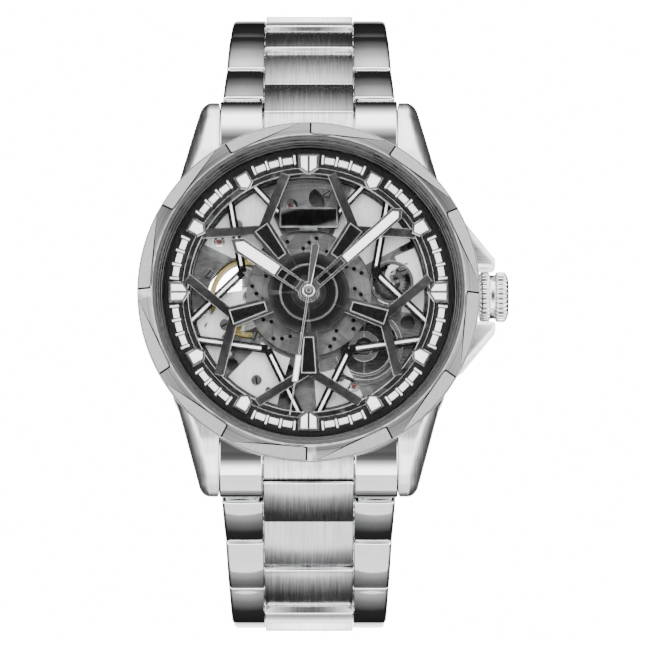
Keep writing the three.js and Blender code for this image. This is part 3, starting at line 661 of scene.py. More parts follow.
def dial_frame():
    """Five spokes, each forked into two branches that reach the rim, and the rim itself."""
    arms = []
    for angle in SPOKES:
        arms.append(turn(spoke_outline(1.35, 0.95, 4.6, 10.2), angle))
        for side in (-1, 1):
            arms.append(strap(clock(9.6, angle), clock(15.0, angle + side * FORK), 1.15))
    rim = lathe([(14.72, 8.1), (15.58, 8.1), (15.58, 8.7), (15.5, 8.78), (14.8, 8.78), (14.72, 8.7)], 200)
    return merge([rim, sheet_part(arms, [circle(4.4)], DIAL_LOW, DIAL_HIGH)])


# its bevels take the lighter steel, a painted highlight
build("open_dial", dial_frame(), dial_gunmetal, HEAD, ["dial_frame"], bevel=0.17,
      edges=bevel_painted_highlight)


def spoke_pockets():
    """A dark tapered panel along each spoke, and its raised border."""
    borders, floors = [], []
    for angle in SPOKES:
        outer = spoke_outline(0.95, 0.62, 5.5, 10.0)
        border = slab(outer, [(0, 8.7), (0, 8.84), (0.07, 8.88), (0.14, 8.84), (0.16, 8.76)])
        bottom = block(inset(outer, 0.15), 8.7, 8.82, 0.01)
        borders.append(turned(border, angle))
        floors.append(turned(bottom, angle))
    return merge(borders), merge(floors)


pocket_borders, pocket_floors = spoke_pockets()
build("spoke_borders", pocket_borders, disc_steel, HEAD)
build("spoke_pockets", pocket_floors, pocket_grey, HEAD)

HUB_PROFILE = [
    (1.15, 8.1), (5.0, 8.1), (5.0, 8.76), (4.94, 8.82), (3.62, 8.84), (3.56, 8.9), (3.44, 8.93),
    (3.34, 8.88), (3.3, 8.78), (2.2, 8.76), (2.16, 8.8), (1.5, 8.82), (1.15, 8.84),
]
build("dial_hub", lathe(HUB_PROFILE, 160), hub_gunmetal, HEAD)

STRUTS = (72, 144, 216, 288)
LINE_LAYER = (7.98, 8.05)


def strut_layer():
    """The black V struts and their ring, and the white line along the top of each leg."""
    legs, lines = [], []
    for angle in STRUTS:
        for side in (-1, 1):
            start, end = clock(8.55, angle), clock(15.1, angle + side * 32)
            legs.append(strap(start, end, 1.0))
            along = (end - start) / np.linalg.norm(end - start)
            lines.append(block(strap(start + along * 0.8, end - along * 0.3, 0.3), *LINE_LAYER, 0.02))
    for side in (-1, 1):
        start, end = np.array([side * 3.15, 9.5]), clock(15.1, side * 27)
        legs.append(strap(start, end, 0.85))
        along = (end - start) / np.linalg.norm(end - start)
        lines.append(block(strap(start + along * 0.9, end, 0.3), *LINE_LAYER, 0.02))
    legs.append(rectangle(3.65, 8.1, 10.7))
    rim = lathe([(14.9, STRUT_LOW), (15.58, STRUT_LOW), (15.58, STRUT_HIGH), (14.9, STRUT_HIGH)], 180)
    return merge([rim, sheet_part(legs, [], STRUT_LOW, STRUT_HIGH)]), merge(lines)


struts, strut_lines = strut_layer()
build("strut_frame", struts, strut_black, HEAD, ["strut_plate"], bevel=0.06)
build("strut_lines", strut_lines, white_print_painted_glow, HEAD)
build("blank_nameplate", merge([
    slab(rectangle(3.6, 8.15, 10.65), [(0, 7.98), (0, 8.2), (0.12, 8.28), (0.2, 8.28), (0.24, 8.22)]),
    block(rectangle(1.1, 7.75, 8.3), 7.98, 8.18, 0.05),
]), plate_dark, HEAD)


def perforated_disc():
    """A flat ring with twelve slanting rows of three round holes."""
    row = ((7.0, 8.0, 0.27), (6.4, 0.6, 0.27), (5.7, -6.8, 0.25))  # radius, lean and size of each hole
    holes = [circle(size, clock(radius, 30 * k + lean), 20) for k in range(12) for radius, lean, size in row]
    return sheet_part([circle(7.65, steps=144)], [circle(1.5)] + holes, 7.12, 7.4)


build("brake_disc", perforated_disc(), disc_steel, HEAD, ["perforated_disc"], bevel=0.035)
# A thin black disc under the perforated disc: painted shade seen through its holes.
build("brake_disc_painted_shade", lathe([(1.5, 7.07), (7.5, 7.07), (7.5, 7.1), (1.5, 7.1)], 96), seam_black_and_painted_shade, HEAD)

# ------------------------------------------------------------------ hands

HOUR_ANGLE = 304.2
MINUTE_ANGLE = 48.3
SECONDS_ANGLE = 188.5


def hand(name, body, angle, tip, shoulder, half, boss, window, filling, low, thick=0.22):
    """A sword hand with an open window near the boss and a white filling in front of it.

    The window and the filling are (start, end, half width) along the hand.
    """
    root = half * 0.72
    outline = np.array([[-root, 0], [root, 0], [half, shoulder], [0, tip], [-half, shoulder]])
    open_part = rectangle(window[2], window[0], window[1])
    slot = np.array([[-filling[2], filling[0]], [filling[2], filling[0]],
                     [filling[2] * 1.08, shoulder - 0.25],
                     [0, filling[1]], [-filling[2] * 1.08, shoulder - 0.25]])
    bore = circle(0.62 if body == "hour" else 0.3, steps=24)
    plate = sheet_part([outline, circle(boss)], [open_part, slot, bore], low, low + thick)
    build(name + "_plate", turned(plate, angle), hand_steel, body, [name], bevel=0.08)
    high = low + thick
    fill = slab(inset(slot, -0.01), [(0.02, low + 0.02), (0, low + 0.04), (0, high - 0.04),
                                     (0.05, high - 0.02)])
    build(name + "_lume", turned(fill, angle), lume, body)


hand("hour_hand", "hour", HOUR_ANGLE, 11.6, 10.3, 1.0, 1.3, (1.6, 4.3, 0.52), (4.7, 10.8, 0.6), 9.3)
hand("minute_hand", "minute", MINUTE_ANGLE, 15.4, 14.5, 0.85, 1.08, (1.6, 5.6, 0.33), (6.0, 14.75, 0.47),
     9.74)


def seconds_hand():
    """A thin needle with a short framed bar in it and a broad tail past the boss."""
    needle = np.array([[-0.15, -0.2], [0.15, -0.2], [0.06, 15.5], [-0.06, 15.5]])
    tail = np.array([[-0.46, -5.6], [-0.3, -5.85], [0.3, -5.85], [0.46, -5.6], [0.2, 0], [-0.2, 0]])
    frame_bar = rectangle(0.38, 8.0, 11.4)
    return sheet_part([needle, tail, frame_bar, circle(0.8)], [rectangle(0.25, 8.15, 11.25)], 10.2, 10.34)


build("seconds_needle", turned(seconds_hand(), SECONDS_ANGLE), polished, "seconds",
      ["seconds_hand"], bevel=0.03)
seconds_fill = block(rectangle(0.26, 8.14, 11.26), 10.22, 10.33, 0.02)
build("seconds_lume", turned(seconds_fill, SECONDS_ANGLE), lume, "seconds")
CAP_PROFILE = [(0, 10.3), (0.72, 10.3), (0.72, 10.4), (0.62, 10.48), (0.3, 10.5), (0.26, 10.44), (0, 10.44)]
build("seconds_cap", lathe(CAP_PROFILE, 48), polished, "seconds")

# ------------------------------------------------------------------ movement

# the wheels' centres on the plate
BALANCE = (-7.3, -0.3)
BARREL = (6.8, -6.4)
THIRD = (3.2, 3.58)
ESCAPE = (-3.4, -4.13)
RATCHET = (10.2, 1.5)


def gear_outline(centre, radius, teeth, depth):
    """A toothed circle: four points to a tooth, two at its tip and two at its root."""
    step = TAU / teeth
    angle = (np.arange(teeth)[:, None] * step + np.array([0.0, 0.14, 0.42, 0.56]) * step).ravel()
    reach = np.tile([radius - depth, radius, radius, radius - depth], teeth)
    return np.stack([centre[0] + reach * np.cos(angle), centre[1] + reach * np.sin(angle)], -1)


def spoke_cuts(centre, inner, outer, count, width):
    """The openings between a wheel's spokes, as bent four-sided outlines."""
    cuts = []
    for k in range(count):
        lead, end = 360 / count * k, 360 / count * (k + 1)
        inner_lean, outer_lean = math.degrees(width / 2 / inner), math.degrees(width / 2 / outer)
        far = clock(outer, np.linspace(lead + outer_lean, end - outer_lean, 14))
        near = clock(inner, np.linspace(end - inner_lean, lead + inner_lean, 6))
        cuts.append(np.vstack([far, near]) + centre)
    return cuts


def gear(centre, radius, teeth, spokes, low, high, depth=0.22):
    """A flat toothed wheel with spokes."""
    return sheet_part([gear_outline(centre, radius, teeth, depth)],
                      spoke_cuts(centre, radius * 0.26, radius - 0.75, spokes, 0.42), low, high)


def screw(centre, radius, low, spin):
    """A slotted screw head: a turned head, and a dark bar across its top that paints the slot's shade."""
    x, y = centre
    head = lathe([(0, low), (radius, low), (radius, low + 0.2), (radius - 0.08, low + 0.28),
                  (0, low + 0.28)], 28, centre)
    slot = strap((x - radius * 0.86 * math.cos(spin), y - radius * 0.86 * math.sin(spin)),
                 (x + radius * 0.86 * math.cos(spin), y + radius * 0.86 * math.sin(spin)), radius * 0.3)
    return head, slab(slot, [(0, low + 0.2), (0.01, low + 0.29)])


PLATE_LOW, PLATE_HIGH = 5.35, 6.6
BRIDGE_LOW, BRIDGE_HIGH = 6.62, 6.98


def main_plate():
    """The main plate, open over the balance, the barrel and the wheels."""
    cuts = [
        circle(5.15, BALANCE, 96), circle(2.3, RATCHET, 48), circle(3.7, (7.6, -6.9), 64),
        circle(2.0, (0, 11.3), 48),
        circle(1.9, (6.0, 10.0), 48), circle(2.2, (-3.4, -10.6), 48), circle(0.65),
        circle(1.2, (-5.4, 9.6), 36),
        circle(1.0, (12.0, 6.2), 30), circle(0.9, (12.2, -3.4), 30), circle(1.1, (2.4, -11.6), 30),
        circle(0.8, (-9.6, 7.4), 28), circle(0.75, (-9.4, -8.6), 28),
    ]
    return sheet_part([circle(14.4, steps=160)], cuts, PLATE_LOW, PLATE_HIGH)


build("main_plate_open", main_plate(), rhodium, HEAD, ["main_plate"], bevel=0.12)
build("holder_ring", lathe([
    (14.5, 2.0), (17.9, 2.0), (17.9, 8.25), (15.75, 8.25), (15.75, 7.44), (14.6, 7.44), (14.5, 7.34),
], 160), plate_dark, HEAD, ["movement_ring"])


def ring_sector(inner, outer, start, end, steps=24):
    """Part of a flat ring between two clock angles."""
    angle = np.linspace(start, end, steps)
    return np.vstack([clock(outer, angle), clock(inner, angle[::-1])])


def bridges():
    """Light bridges laid over the main plate, between the struts."""
    spots = ((-11.4, 4.3), (8.3, 8.2), (11.9, 4.1), (-4.9, -11.9), (5.0, -11.8), (-12.4, -3.9))
    cut = [circle(0.42, spot, 20) for spot in spots]
    shapes = [
        ring_sector(8.1, 14.2, 296, 336), ring_sector(7.9, 14.2, 22, 62), ring_sector(11.6, 14.2, 66, 100),
        ring_sector(8.2, 14.2, 196, 224), ring_sector(9.8, 14.2, 152, 176), ring_sector(11.9, 14.2, 232, 262),
    ]
    parts = [sheet_part([shape], cut + [circle(5.2, BALANCE, 96), circle(2.5, RATCHET, 48)],
                        BRIDGE_LOW, BRIDGE_HIGH)
             for shape in shapes]
    return merge(parts)


build("upper_bridges", bridges(), rhodium_light, HEAD, bevel=0.1)
SETTING_HOLES = [circle(0.9, (-2.2, 11.0), 30), circle(1.3, (1.3, 12.0), 36), circle(0.5, (3.0, 9.2), 20)]
build("setting_plate", sheet_part([ring_sector(8.0, 14.1, 342, 378)], SETTING_HOLES, BRIDGE_LOW, 6.95),
      disc_steel, HEAD, bevel=0.08)
COCK_OUTLINE = np.array([[-6.6, 0.7], [-7.9, -1.2], [-11.4, -6.3], [-12.9, -4.5], [-10.4, 0.2]])
COCK_SHAPES = [COCK_OUTLINE, circle(1.25, BALANCE, 40)]
build("balance_bridge", sheet_part(COCK_SHAPES, [circle(0.5, BALANCE, 24)], 6.66, 7.02),
      rhodium_light, HEAD, ["balance_cock"], bevel=0.1)

build("ratchet_ring", lathe([(2.25, 6.3), (2.75, 6.3), (2.75, 6.95), (2.66, 7.03), (2.34, 7.03),
                             (2.25, 6.95)], 64, RATCHET),
      polished, HEAD)
build("ratchet_gear", gear(RATCHET, 1.8, 26, 5, 6.1, 6.32, 0.28), disc_steel, HEAD,
      bevel=0.04)
build("click_lever", sheet_part([
    ring_sector(1.0, 1.5, 200, 330) + np.array([10.9, 2.3]), strap((9.9, 3.2), (12.3, 4.6), 0.7),
    circle(0.7, (12.3, 4.6), 24),
], [circle(0.25, (12.3, 4.6), 12)], 6.5, 6.75), rhodium_light, HEAD, bevel=0.06)


def barrel_bridge():
    """Bright curved steps over the barrel: two part rings, and a collar at its middle."""
    shapes = [ring_sector(3.35, 3.75, 60, 250, 48), ring_sector(4.15, 4.75, 40, 235, 48),
              ring_sector(1.1, 1.9, 0, 359, 48)]
    tops = (6.8, BRIDGE_HIGH, 6.75)
    return merge([sheet_part([shape + np.array(BARREL)], [], BRIDGE_LOW, top)
                  for shape, top in zip(shapes, tops)])


build("barrel_steps", barrel_bridge(), polished, HEAD, bevel=0.06)


def jewels():
    """Ruby bearings, each in a polished ring."""
    spots = [(BALANCE, 0.5, 7.0), (THIRD, 0.4, 6.62), ((-3.4, -10.6), 0.45, 5.4), ((10.2, 3.0), 0.3, 6.5),
             ((-11.0, 6.6), 0.32, 7.0), ((5.6, -11.4), 0.32, 7.0), ((-2.2, 11.0), 0.35, 6.6)]
    stones = [lathe([(0, z - 0.3), (r, z - 0.3), (r, z), (r * 0.6, z + 0.06), (0, z + 0.02)], 32, spot)
              for spot, r, z in spots]
    collars = [lathe([(r, z - 0.3), (r + 0.34, z - 0.3), (r + 0.34, z), (r + 0.24, z + 0.07),
                      (r + 0.06, z + 0.05), (r, z)],
                     36, spot) for spot, r, z in spots]
    return merge(stones), merge(collars)


stones, collars = jewels()
build("jewels", stones, ruby, HEAD)
build("jewel_collars", collars, polished, HEAD)

SCREWS = [((-10.2, -3.75), 0.75, 7.0, 0.5), ((-6.5, -5.1), 0.55, 6.6, 1.2), ((11.6, 2.9), 0.6, 6.98, 0.3),
          ((9.2, 8.9), 0.7, 6.98, 1.0), ((-8.8, 8.6), 0.7, 6.98, 2.1), ((-12.3, 2.6), 0.6, 6.98, 0.9),
          ((3.9, -10.2), 0.6, 6.98, 0.2), ((-6.4, -10.6), 0.65, 6.98, 1.7),
          ((12.6, -1.4), 0.55, 6.6, 2.4), ((2.2, 12.6), 0.5, 6.95, 0.6), ((-12.9, -2.0), 0.5, 6.98, 2.8)]
heads = [screw(*item) for item in SCREWS]
build("screw_heads", merge([head for head, _ in heads]), polished, HEAD)
# the slots are dark bars laid on the heads: painted shade
build("screw_slot_shade", merge([slot for _, slot in heads]), seam_black_and_painted_shade, HEAD)


def balance_wheel():
    """A gilt rim with two arms and twelve timing screws, on its staff."""
    rim = lathe([(4.25, 5.6), (4.9, 5.6), (4.9, 5.98), (4.84, 6.04), (4.31, 6.04), (4.25, 5.98)], 120,
                BALANCE)
    arms = sheet_part([strap(clock(4.4, 20) + BALANCE, clock(4.4, 200) + BALANCE, 0.75),
                       circle(0.95, BALANCE, 36)],
                      [circle(0.2, BALANCE, 12)], 5.66, 5.96)
    pins = [lathe([(0, 5.96), (0.16, 5.96), (0.16, 6.16), (0.1, 6.2), (0, 6.2)], 14,
                  clock(4.58, 30 * k) + BALANCE)
            for k in range(12)]
    staff = lathe([(0, 3.5), (0.2, 3.5), (0.2, 6.55), (0, 6.55)], 20, BALANCE)
    return merge([rim, arms, staff] + pins)


build("balance_rim", balance_wheel(), gilt, "balance", ["balance_wheel"], bevel=0.04)


def hairspring():
    """A flat spiral ribbon of nine turns: the radius grows evenly with the angle."""
    turns, steps = 9, 9 * 40
    angle = np.linspace(0, turns * TAU, steps)
    radius = 0.7 + 2.0 * angle / angle[-1]
    half_wide, low, high = 0.03, 6.1, 6.32
    section = [(-half_wide, low), (half_wide, low), (half_wide, high), (-half_wide, high)]
    corners = [np.stack([BALANCE[0] + (radius + side) * np.cos(angle),
                         BALANCE[1] + (radius + side) * np.sin(angle),
                         np.full(steps, z)], -1) for side, z in section]
    return tube(np.stack(corners, 1))


build("hairspring", hairspring(), blue_steel, "balance")

build("seconds_gear", merge([gear((0, 0), 4.9, 80, 5, 3.42, 3.58),
                             lathe([(0, 3.4), (0.22, 3.4), (0.22, 10.15), (0, 10.15)], 20)]),
      gilt, "seconds", ["seconds_wheel"])
build("centre_gear", merge([gear((0, 0), 4.2, 64, 4, 3.97, 4.18),
                            lathe([(0.3, 3.95), (0.55, 3.95), (0.55, 9.7), (0.3, 9.7)], 24)]),
      gilt, "minute", ["center_wheel"])
build("hour_gear", merge([gear((0, 0), 2.8, 40, 4, 6.74, 6.93, 0.16),
                          lathe([(0.62, 6.72), (0.95, 6.72), (0.95, 9.25), (0.62, 9.25)], 32)]),
      gilt, "hour", ["hour_wheel"])
THIRD_STAFF = [(0, 3.66), (0.2, 3.66), (0.2, 3.95), (0.46, 3.95), (0.46, 4.2), (0.2, 4.2), (0.2, 5.25),
               (0, 5.25)]
build("third_gear", merge([gear(THIRD, 4.1, 75, 5, 3.7, 3.85), lathe(THIRD_STAFF, 24, THIRD)]),
      gilt, "third", ["third_wheel"])


def escape_gear():
    """Fifteen pointed teeth that lean one way."""
    step = TAU / 15
    angle = (np.arange(15)[:, None] * step + np.array([0.0, 0.12, 0.3]) * step).ravel()
    reach = np.tile([1.35, 1.9, 1.35], 15)
    outline = np.stack([ESCAPE[0] + reach * np.cos(angle), ESCAPE[1] + reach * np.sin(angle)], -1)
    wheel = sheet_part([outline], spoke_cuts(ESCAPE, 0.45, 1.1, 4, 0.25), 4.37, 4.48)
    return merge([wheel, lathe([(0, 3.4), (0.38, 3.4), (0.38, 3.6), (0.18, 3.62), (0.18, 5.2), (0, 5.2)], 20,
                               ESCAPE)])


build("escape_gear", escape_gear(), polished, "escape", ["escape_wheel"])
build("barrel_drum", merge([
    lathe([(0, 3.72), (4.3, 3.72), (4.3, 5.1), (4.1, 5.15), (3.2, 5.15), (3.1, 5.05), (1.5, 5.05),
           (1.4, 5.15), (0.8, 5.15), (0.8, 5.25), (0, 5.25)], 120, BARREL),
    sheet_part([gear_outline(BARREL, 4.7, 84, 0.3)], [circle(4.2, BARREL, 60)], 3.8, 4.3),
]), rhodium, "barrel", ["barrel"])


def rotor_part():
    """A half ring of heavy metal on five thin arms, with its hub."""
    weight = lathe_sector([(10.4, 1.78), (12.65, 1.78), (12.7, 1.85), (12.7, 2.7), (12.65, 2.75),
                           (10.4, 2.75), (10.35, 2.7), (10.35, 1.85)], 92, 268)
    arms = [strap(clock(1.5, a), clock(10.8, a), 1.5) for a in (100, 140, 180, 220, 260)]
    web = sheet_part(arms + [circle(2.6)], [circle(1.3)], 2.25, 2.72)
    return merge([weight, web])


def lathe_sector(profile, start, end, steps=96):
    """A closed [radius, z] outline turned through part of a circle, with flat ends."""
    angle = np.linspace(start, end, steps)
    profile = np.asarray(profile, float)
    return tube(np.stack([np.concatenate([clock(profile[:, 0], a), profile[:, 1][:, None]], -1)
                          for a in angle]))


build("rotor_weight", rotor_part(), rhodium_light, "rotor", ["rotor"], bevel=0.06)

# ------------------------------------------------------------------ bracelet

PITCH = 9.2
THICK = 3.4
PIN_BACK = PITCH / 4
SLOPES = {"upper": (57, 53, 65, 78, 115, 154), "lower": (64, 57, 66, 88, 118, 148)}
FIRST_PIN = (22.6, 3.4)
LINK_GAP = 0.06
CENTRE_HALF = 5.56
SIDE_START = 5.61
LINK_TOP = 1.85
LINK_CROWN = 0.34
CORNER_OUT = 0.32
CORNER_IN = 1.2


def hinge_points(slopes):
    """The (y, z) of every pin: each row is one pitch long and falls at its own slope."""
    points = [FIRST_PIN]
    for slope in slopes:
        y, z = points[-1]
        points.append((y + PITCH * math.cos(math.radians(slope)), z - PITCH * math.sin(math.radians(slope))))
    return points


def half_width(travel):
    """The bracelet narrows from 10.8 mm a side at the case to 9.3 mm five rows on."""
    return 10.8 - 1.5 * np.clip(travel / (5 * PITCH), 0, 1) ** 0.85


def rounded_corner(centre, radius, start, end, steps=7):
    """An arc between two angles in degrees."""
    angle = np.radians(np.linspace(start, end, steps))
    return np.stack([centre[0] + radius * np.cos(angle), centre[1] + radius * np.sin(angle)], -1)


def link_outline(start, end):
    """A link from the side: a bowed outer face with tight corners, a flat inner face with round ones."""
    share = np.linspace(0, 1, 17)
    along = start + CORNER_OUT + (end - start - 2 * CORNER_OUT) * share
    outer = np.stack([along, LINK_TOP + LINK_CROWN * (1 - (2 * share - 1) ** 2)], -1)
    low = -THICK / 2
    return np.vstack([
        outer,
        rounded_corner((end - CORNER_OUT, LINK_TOP - CORNER_OUT), CORNER_OUT, 80, 0),
        rounded_corner((end - CORNER_IN, low + CORNER_IN), CORNER_IN, 0, -90),
        rounded_corner((start + CORNER_IN, low + CORNER_IN), CORNER_IN, -90, -180),
        rounded_corner((start + CORNER_OUT, LINK_TOP - CORNER_OUT), CORNER_OUT, 180, 100),
    ])[::-1]


def carry_across(outline, stations):
    """An outline of (along, height) carried across the strap through stations of (x, inset).

    A station's x is a number, or a function of the distance along.
    """
    rings = []
    for across, pull in stations:
        ring = inset(outline, pull)
        x = across(ring[:, 0]) if callable(across) else np.full(len(ring), across)
        rings.append(np.column_stack([x, ring]))
    return tube(np.array(rings))


def on_half(part, half):
    """A part drawn for the upper half; for the lower one it is turned half round the z axis."""
    points, faces = part
    sign = 1 if half == "upper" else -1
    return points * [sign, sign, 1], faces


def on_row(part, hinge, slope, half):
    """A part drawn in a row's (across, along, height), moved to its hinge and tilted by its slope."""
    x, along, height = np.asarray(part[0], float).T
    c, d = math.cos(math.radians(slope)), math.sin(math.radians(slope))
    y = hinge[0] + along * c + height * d
    z = hinge[1] - along * d + height * c
    return on_half((np.stack([x, y, z], -1), part[1]), half)


def centre_link():
    """A centre link with small bevels down both sides."""
    edge = 0.14
    outline = link_outline(-PIN_BACK + LINK_GAP, PITCH - PIN_BACK - LINK_GAP)
    near = [(-CENTRE_HALF, edge), (-CENTRE_HALF + 0.05, edge * 0.35), (-CENTRE_HALF + edge, 0)]
    far = [(-x, pull) for x, pull in reversed(near)]
    return carry_across(outline, near + far)


def side_wall(travel, sign, back):
    """A function from the distance along a row to its outer wall's x, set back by a distance."""
    def across(along):
        return sign * (half_width(travel + along) - back)
    return across


def side_link(travel, sign):
    """A side link whose outer wall follows the strap's taper and is softly rounded."""
    start = -PIN_BACK + PITCH / 2 + LINK_GAP
    outline = link_outline(start, start + PITCH - 2 * LINK_GAP)
    inner = [(sign * (SIDE_START + step), pull) for step, pull in ((0, 0.14), (0.05, 0.05), (0.14, 0))]
    outer = [(side_wall(travel, sign, back), pull)
             for back, pull in ((0.42, 0), (0.2, 0.07), (0.06, 0.2), (0.0, 0.42))]
    return carry_across(outline, inner + outer)


def across_row(part, station):
    """A lathe part laid across the row, at a distance along it."""
    points, faces = part
    return np.column_stack([points[:, 2], points[:, 0] + station, points[:, 1]]), faces


def pins(with_pin):
    """The bar that joins a row's centre and side links, and the pin to the next row if it has one."""
    turn_pin = lathe([(0, -6.0), (0.5, -6.0), (0.5, 6.0), (0, 6.0)], 20)
    bar = lathe([(0, -6.0), (1.0, -6.0), (1.0, 6.0), (0, 6.0)], 24)
    return merge([across_row(bar, PITCH / 2)] + ([across_row(turn_pin, PITCH)] if with_pin else []))


def strap_row(half, number, slope, hinge):
    """One row: its two side links, its centre link and its pins. The upper half's last has no pin."""
    body = f"row_{half}_{number}"
    travel = PITCH * (number - 1)
    sides = on_row(merge([side_link(travel, -1), side_link(travel, 1)]), hinge, slope, half)
    build(f"side_links_{half}_{number}", sides, polished, body, sharp=50)
    centre = on_row(centre_link(), hinge, slope, half)
    build(f"centre_link_{half}_{number}", centre, brushed_strap, body,
          [f"link_{half}_{number}"], sharp=50)
    with_pin = half == "lower" or number < len(SLOPES[half])
    build(f"link_pins_{half}_{number}", on_row(pins(with_pin), hinge, slope, half), polished, body)


for half, slopes in SLOPES.items():
    for i, (slope, hinge) in enumerate(zip(slopes, hinge_points(slopes))):
        strap_row(half, i + 1, slope, hinge)


def end_piece(half):
    """The end link: a brushed stub behind the first centre link and two polished ears round its pin."""
    rise = np.linspace(0, 1, 16)
    ear_top = np.stack([19.0 + 5.45 * rise, 8.0 - 3.66 * rise ** 3], -1)[:-1]
    ear_tip = rounded_corner(FIRST_PIN, 2.08, 27, -95, 16)
    ear = np.vstack([[17.2, 1.75], [17.2, 8.1], ear_top, ear_tip])[::-1]
    hollow = rounded_corner(FIRST_PIN, 2.92, 85, 214, 18)
    stub_top = np.stack([19.35 + 3.4 * rise, 7.75 - 0.5 * rise - 0.92 * rise ** 2], -1)
    stub = np.vstack([[19.35, 2.1], stub_top, hollow])[::-1]
    ears = merge([carry_across(ear, [(side * x, pull) for x,
                                     pull in ((5.66, 0.14), (5.8, 0), (10.8, 0), (10.94, 0.14))])
                  for side in (-1, 1)])
    build(f"end_ears_{half}", on_half(ears, half), polished, HEAD, [f"end_link_{half}"],
          sharp=40)
    edge = 0.1
    centre = carry_across(stub, [(-CENTRE_HALF, edge), (-CENTRE_HALF + edge, 0), (CENTRE_HALF - edge, 0),
                                 (CENTRE_HALF, edge)])
    # the stub's darker steel is painted shade
    build(f"end_stub_{half}", on_half(centre, half), stub_steel_painted_shade, HEAD, sharp=40)


for half in SLOPES:
    end_piece(half)

# ------------------------------------------------------------------ clasp

upper_end = hinge_points(SLOPES["upper"])[-1]
lower_end = hinge_points(SLOPES["lower"])[-1]
SPAN = math.hypot(upper_end[0] + lower_end[0], upper_end[1] - lower_end[1])
CLASP_BOW = 2.4
CLASP_SLOPE = 180 + math.degrees(math.atan2(upper_end[1] - lower_end[1], upper_end[0] + lower_end[0]))


def bow(along):
    """How far the clasp bulges at a distance along it: a parabola, highest at its middle."""
    return CLASP_BOW * (1 - ((2 * along - SPAN) / SPAN) ** 2)


def clasp_cover():
    """The cover: its section across the strap is a shallow tray, carried along the bow."""
    along = np.concatenate([[4.4, 4.5], np.linspace(4.7, 45.3, 60), [45.5, 45.6]])
    pull = np.interp(along, [4.4, 4.7, 45.3, 45.6], [0.25, 0, 0, 0.25])
    section = [(-8.9, -1.25), (-8.9, 1.2), (-8.75, 1.62), (-8.4, 1.83), (-7.9, 1.87), (7.9, 1.87),
               (8.4, 1.83), (8.75, 1.62), (8.9, 1.2), (8.9, -1.25), (8.05, -1.25), (8.0, 0.95),
               (7.85, 1.08), (-7.85, 1.08),
               (-8.0, 0.95), (-8.05, -1.25)]
    return tube(np.stack([np.stack([np.full_like(along, x), along, t + bow(along) - (pull if t > 1 else 0)],
                                   -1)
                          for x, t in section], 1))


def on_clasp(part):
    """A part drawn along the clasp, from the lower half's last pin, to watch millimetres."""
    return on_row(part, lower_end, CLASP_SLOPE, "lower")


def clasp_tongue():
    """The cover's end, which reaches between the upper half's last two ears."""
    angle = np.radians(np.linspace(100, -110, 20))
    tip = np.stack([SPAN + 1.3 * np.cos(angle), 1.3 * np.sin(angle)], -1)
    outline = np.vstack([[44.6, 1.1 + bow(44.6)], [44.6, 1.8 + bow(44.6)], tip])[::-1]
    return carry_across(outline, [(-5.4, 0.1), (-5.3, 0), (5.3, 0), (5.4, 0.1)])


build("clasp_cover_shell", on_clasp(merge([clasp_cover(), clasp_tongue()])), brushed_strap, "cover",
      ["clasp_cover"], sharp=40)

# ------------------------------------------------------------------ CAD nodes that stay

STAYING = {
    "crown_tube": polished, "winding_stem": polished, "rotor_bearing": polished, "train_bridge": rhodium,
    "pallet_fork": polished, "spring_bar_upper": polished, "spring_bar_lower": polished,
    "clasp_blade_inner": polished,
    "clasp_blade_outer": polished, "clasp_button_left": brushed_guard, "clasp_button_right": brushed_guard,
}
for node, finish in STAYING.items():
    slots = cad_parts[node].data.materials
    slots.clear()
    slots.append(finish)

# ------------------------------------------------------------------ floor, light and camera


FLOOR_HALF = 0.6
FLOOR_LEVEL = -1.5


def floor():
    """A plain pale floor well below the watch: its height rises by the square of the distance out."""
    u = np.linspace(-1, 1, 41)
    x, y = np.meshgrid(u * FLOOR_HALF, u * FLOOR_HALF, indexing="ij")
    z = FLOOR_LEVEL + 0.1 * (x ** 2 + y ** 2)
    points, faces = grid(np.stack([x, y, z], -1))
    mesh = bpy.data.meshes.new("floor")
    mesh.from_pydata(points.tolist(), [], faces)
    piece = bpy.data.objects.new("floor", mesh)
    bpy.context.scene.collection.objects.link(piece)
    mesh.materials.append(finish_material("pale_floor", grey(0.86), grey(0.88), 0.7, metal=0.0,
                                          grain=(30, 30, 30)))


LIGHT_LEVEL = 6.5
BACKDROP_LEVEL = 16.0
DIAGONAL_DIP = 0.75
DEPTH_STOPS = [(0, 0.02), (12, 0.04), (24, 0.22), (40, 0.8), (52, 1.0), (84, 1.0), (92, 0.7), (100, 0.4),
               (110, 0.17), (120, 0.05),
               (130, 0.006), (150, 0.002), (160, 0.2), (168, 0.6), (180, 0.6)]


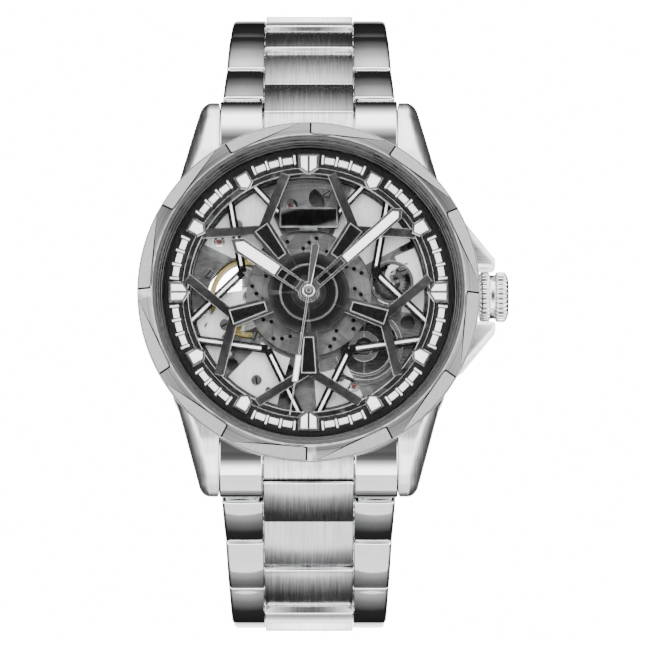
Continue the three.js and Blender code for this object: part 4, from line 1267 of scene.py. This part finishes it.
def world_light():
    """Soft studio light from all round.

    Depth runs from 0 straight ahead of the dial to 1 straight behind it. A ramp over it lets the
    strap's bowed links pass from white to black. It is multiplied by a dip on the diagonals of the
    dial's plane: 1 less the product of the squared sideways and upright parts of the direction.
    """
    world = bpy.data.worlds.new("studio")
    bpy.context.scene.world = world
    world.use_nodes = True
    tree = world.node_tree
    tree.nodes.clear()
    coords = tree.nodes.new("ShaderNodeTexCoord")
    split = tree.nodes.new("ShaderNodeSeparateXYZ")
    tree.links.new(coords.outputs["Generated"], split.inputs[0])
    depth = math_node(tree, "DIVIDE", math_node(tree, "ARCCOSINE",
                                                math_node(tree, "MULTIPLY", split.outputs["Y"], -1)), math.pi)
    ramp = tree.nodes.new("ShaderNodeValToRGB")
    elements = ramp.color_ramp.elements
    while len(elements) < len(DEPTH_STOPS):
        elements.new(0.5)
    for element, (degrees, value) in zip(elements, DEPTH_STOPS):
        element.position = degrees / 180
        element.color = (value, value, value, 1)
    tree.links.new(depth, ramp.inputs[0])
    across = math_node(tree, "MULTIPLY", split.outputs["X"], split.outputs["X"])
    upright = math_node(tree, "MULTIPLY", split.outputs["Z"], split.outputs["Z"])
    product = math_node(tree, "MULTIPLY", math_node(tree, "MULTIPLY", across, upright), -4 * DIAGONAL_DIP)
    quarters = math_node(tree, "ADD", product, 1.0)
    level = math_node(tree, "MULTIPLY", math_node(tree, "MULTIPLY", ramp.outputs["Color"], quarters),
                      LIGHT_LEVEL)
    seen = tree.nodes.new("ShaderNodeLightPath")
    keep = math_node(tree, "SUBTRACT", 1.0, seen.outputs["Is Camera Ray"])
    backdrop = math_node(tree, "MULTIPLY", seen.outputs["Is Camera Ray"], BACKDROP_LEVEL)
    background = tree.nodes.new("ShaderNodeBackground")
    background.inputs["Strength"].default_value = 1.0
    tree.links.new(math_node(tree, "ADD", math_node(tree, "MULTIPLY", level, keep), backdrop),
                   background.inputs["Color"])
    output = tree.nodes.new("ShaderNodeOutputWorld")
    tree.links.new(background.outputs[0], output.inputs["Surface"])


CAMERA_AIM = Vector((0.0017, -0.010, -0.0039))
CAMERA_DISTANCE = 0.72
CAMERA_RISE = math.radians(-8)
VIEW_WIDTH = 0.0789
SENSOR = 36


def camera():
    """A long lens a little below the dial's normal, as the watch leans back."""
    data = bpy.data.cameras.new("camera")
    piece = bpy.data.objects.new("camera", data)
    bpy.context.scene.collection.objects.link(piece)
    away = Vector((0, -math.cos(CAMERA_RISE), math.sin(CAMERA_RISE)))
    piece.location = CAMERA_AIM + away * CAMERA_DISTANCE
    piece.rotation_euler = (-away).to_track_quat("-Z", "Y").to_euler()
    data.sensor_width = SENSOR
    data.lens = SENSOR * CAMERA_DISTANCE / VIEW_WIDTH
    data.clip_start = 0.01
    bpy.context.scene.camera = piece


floor()
world_light()
camera()
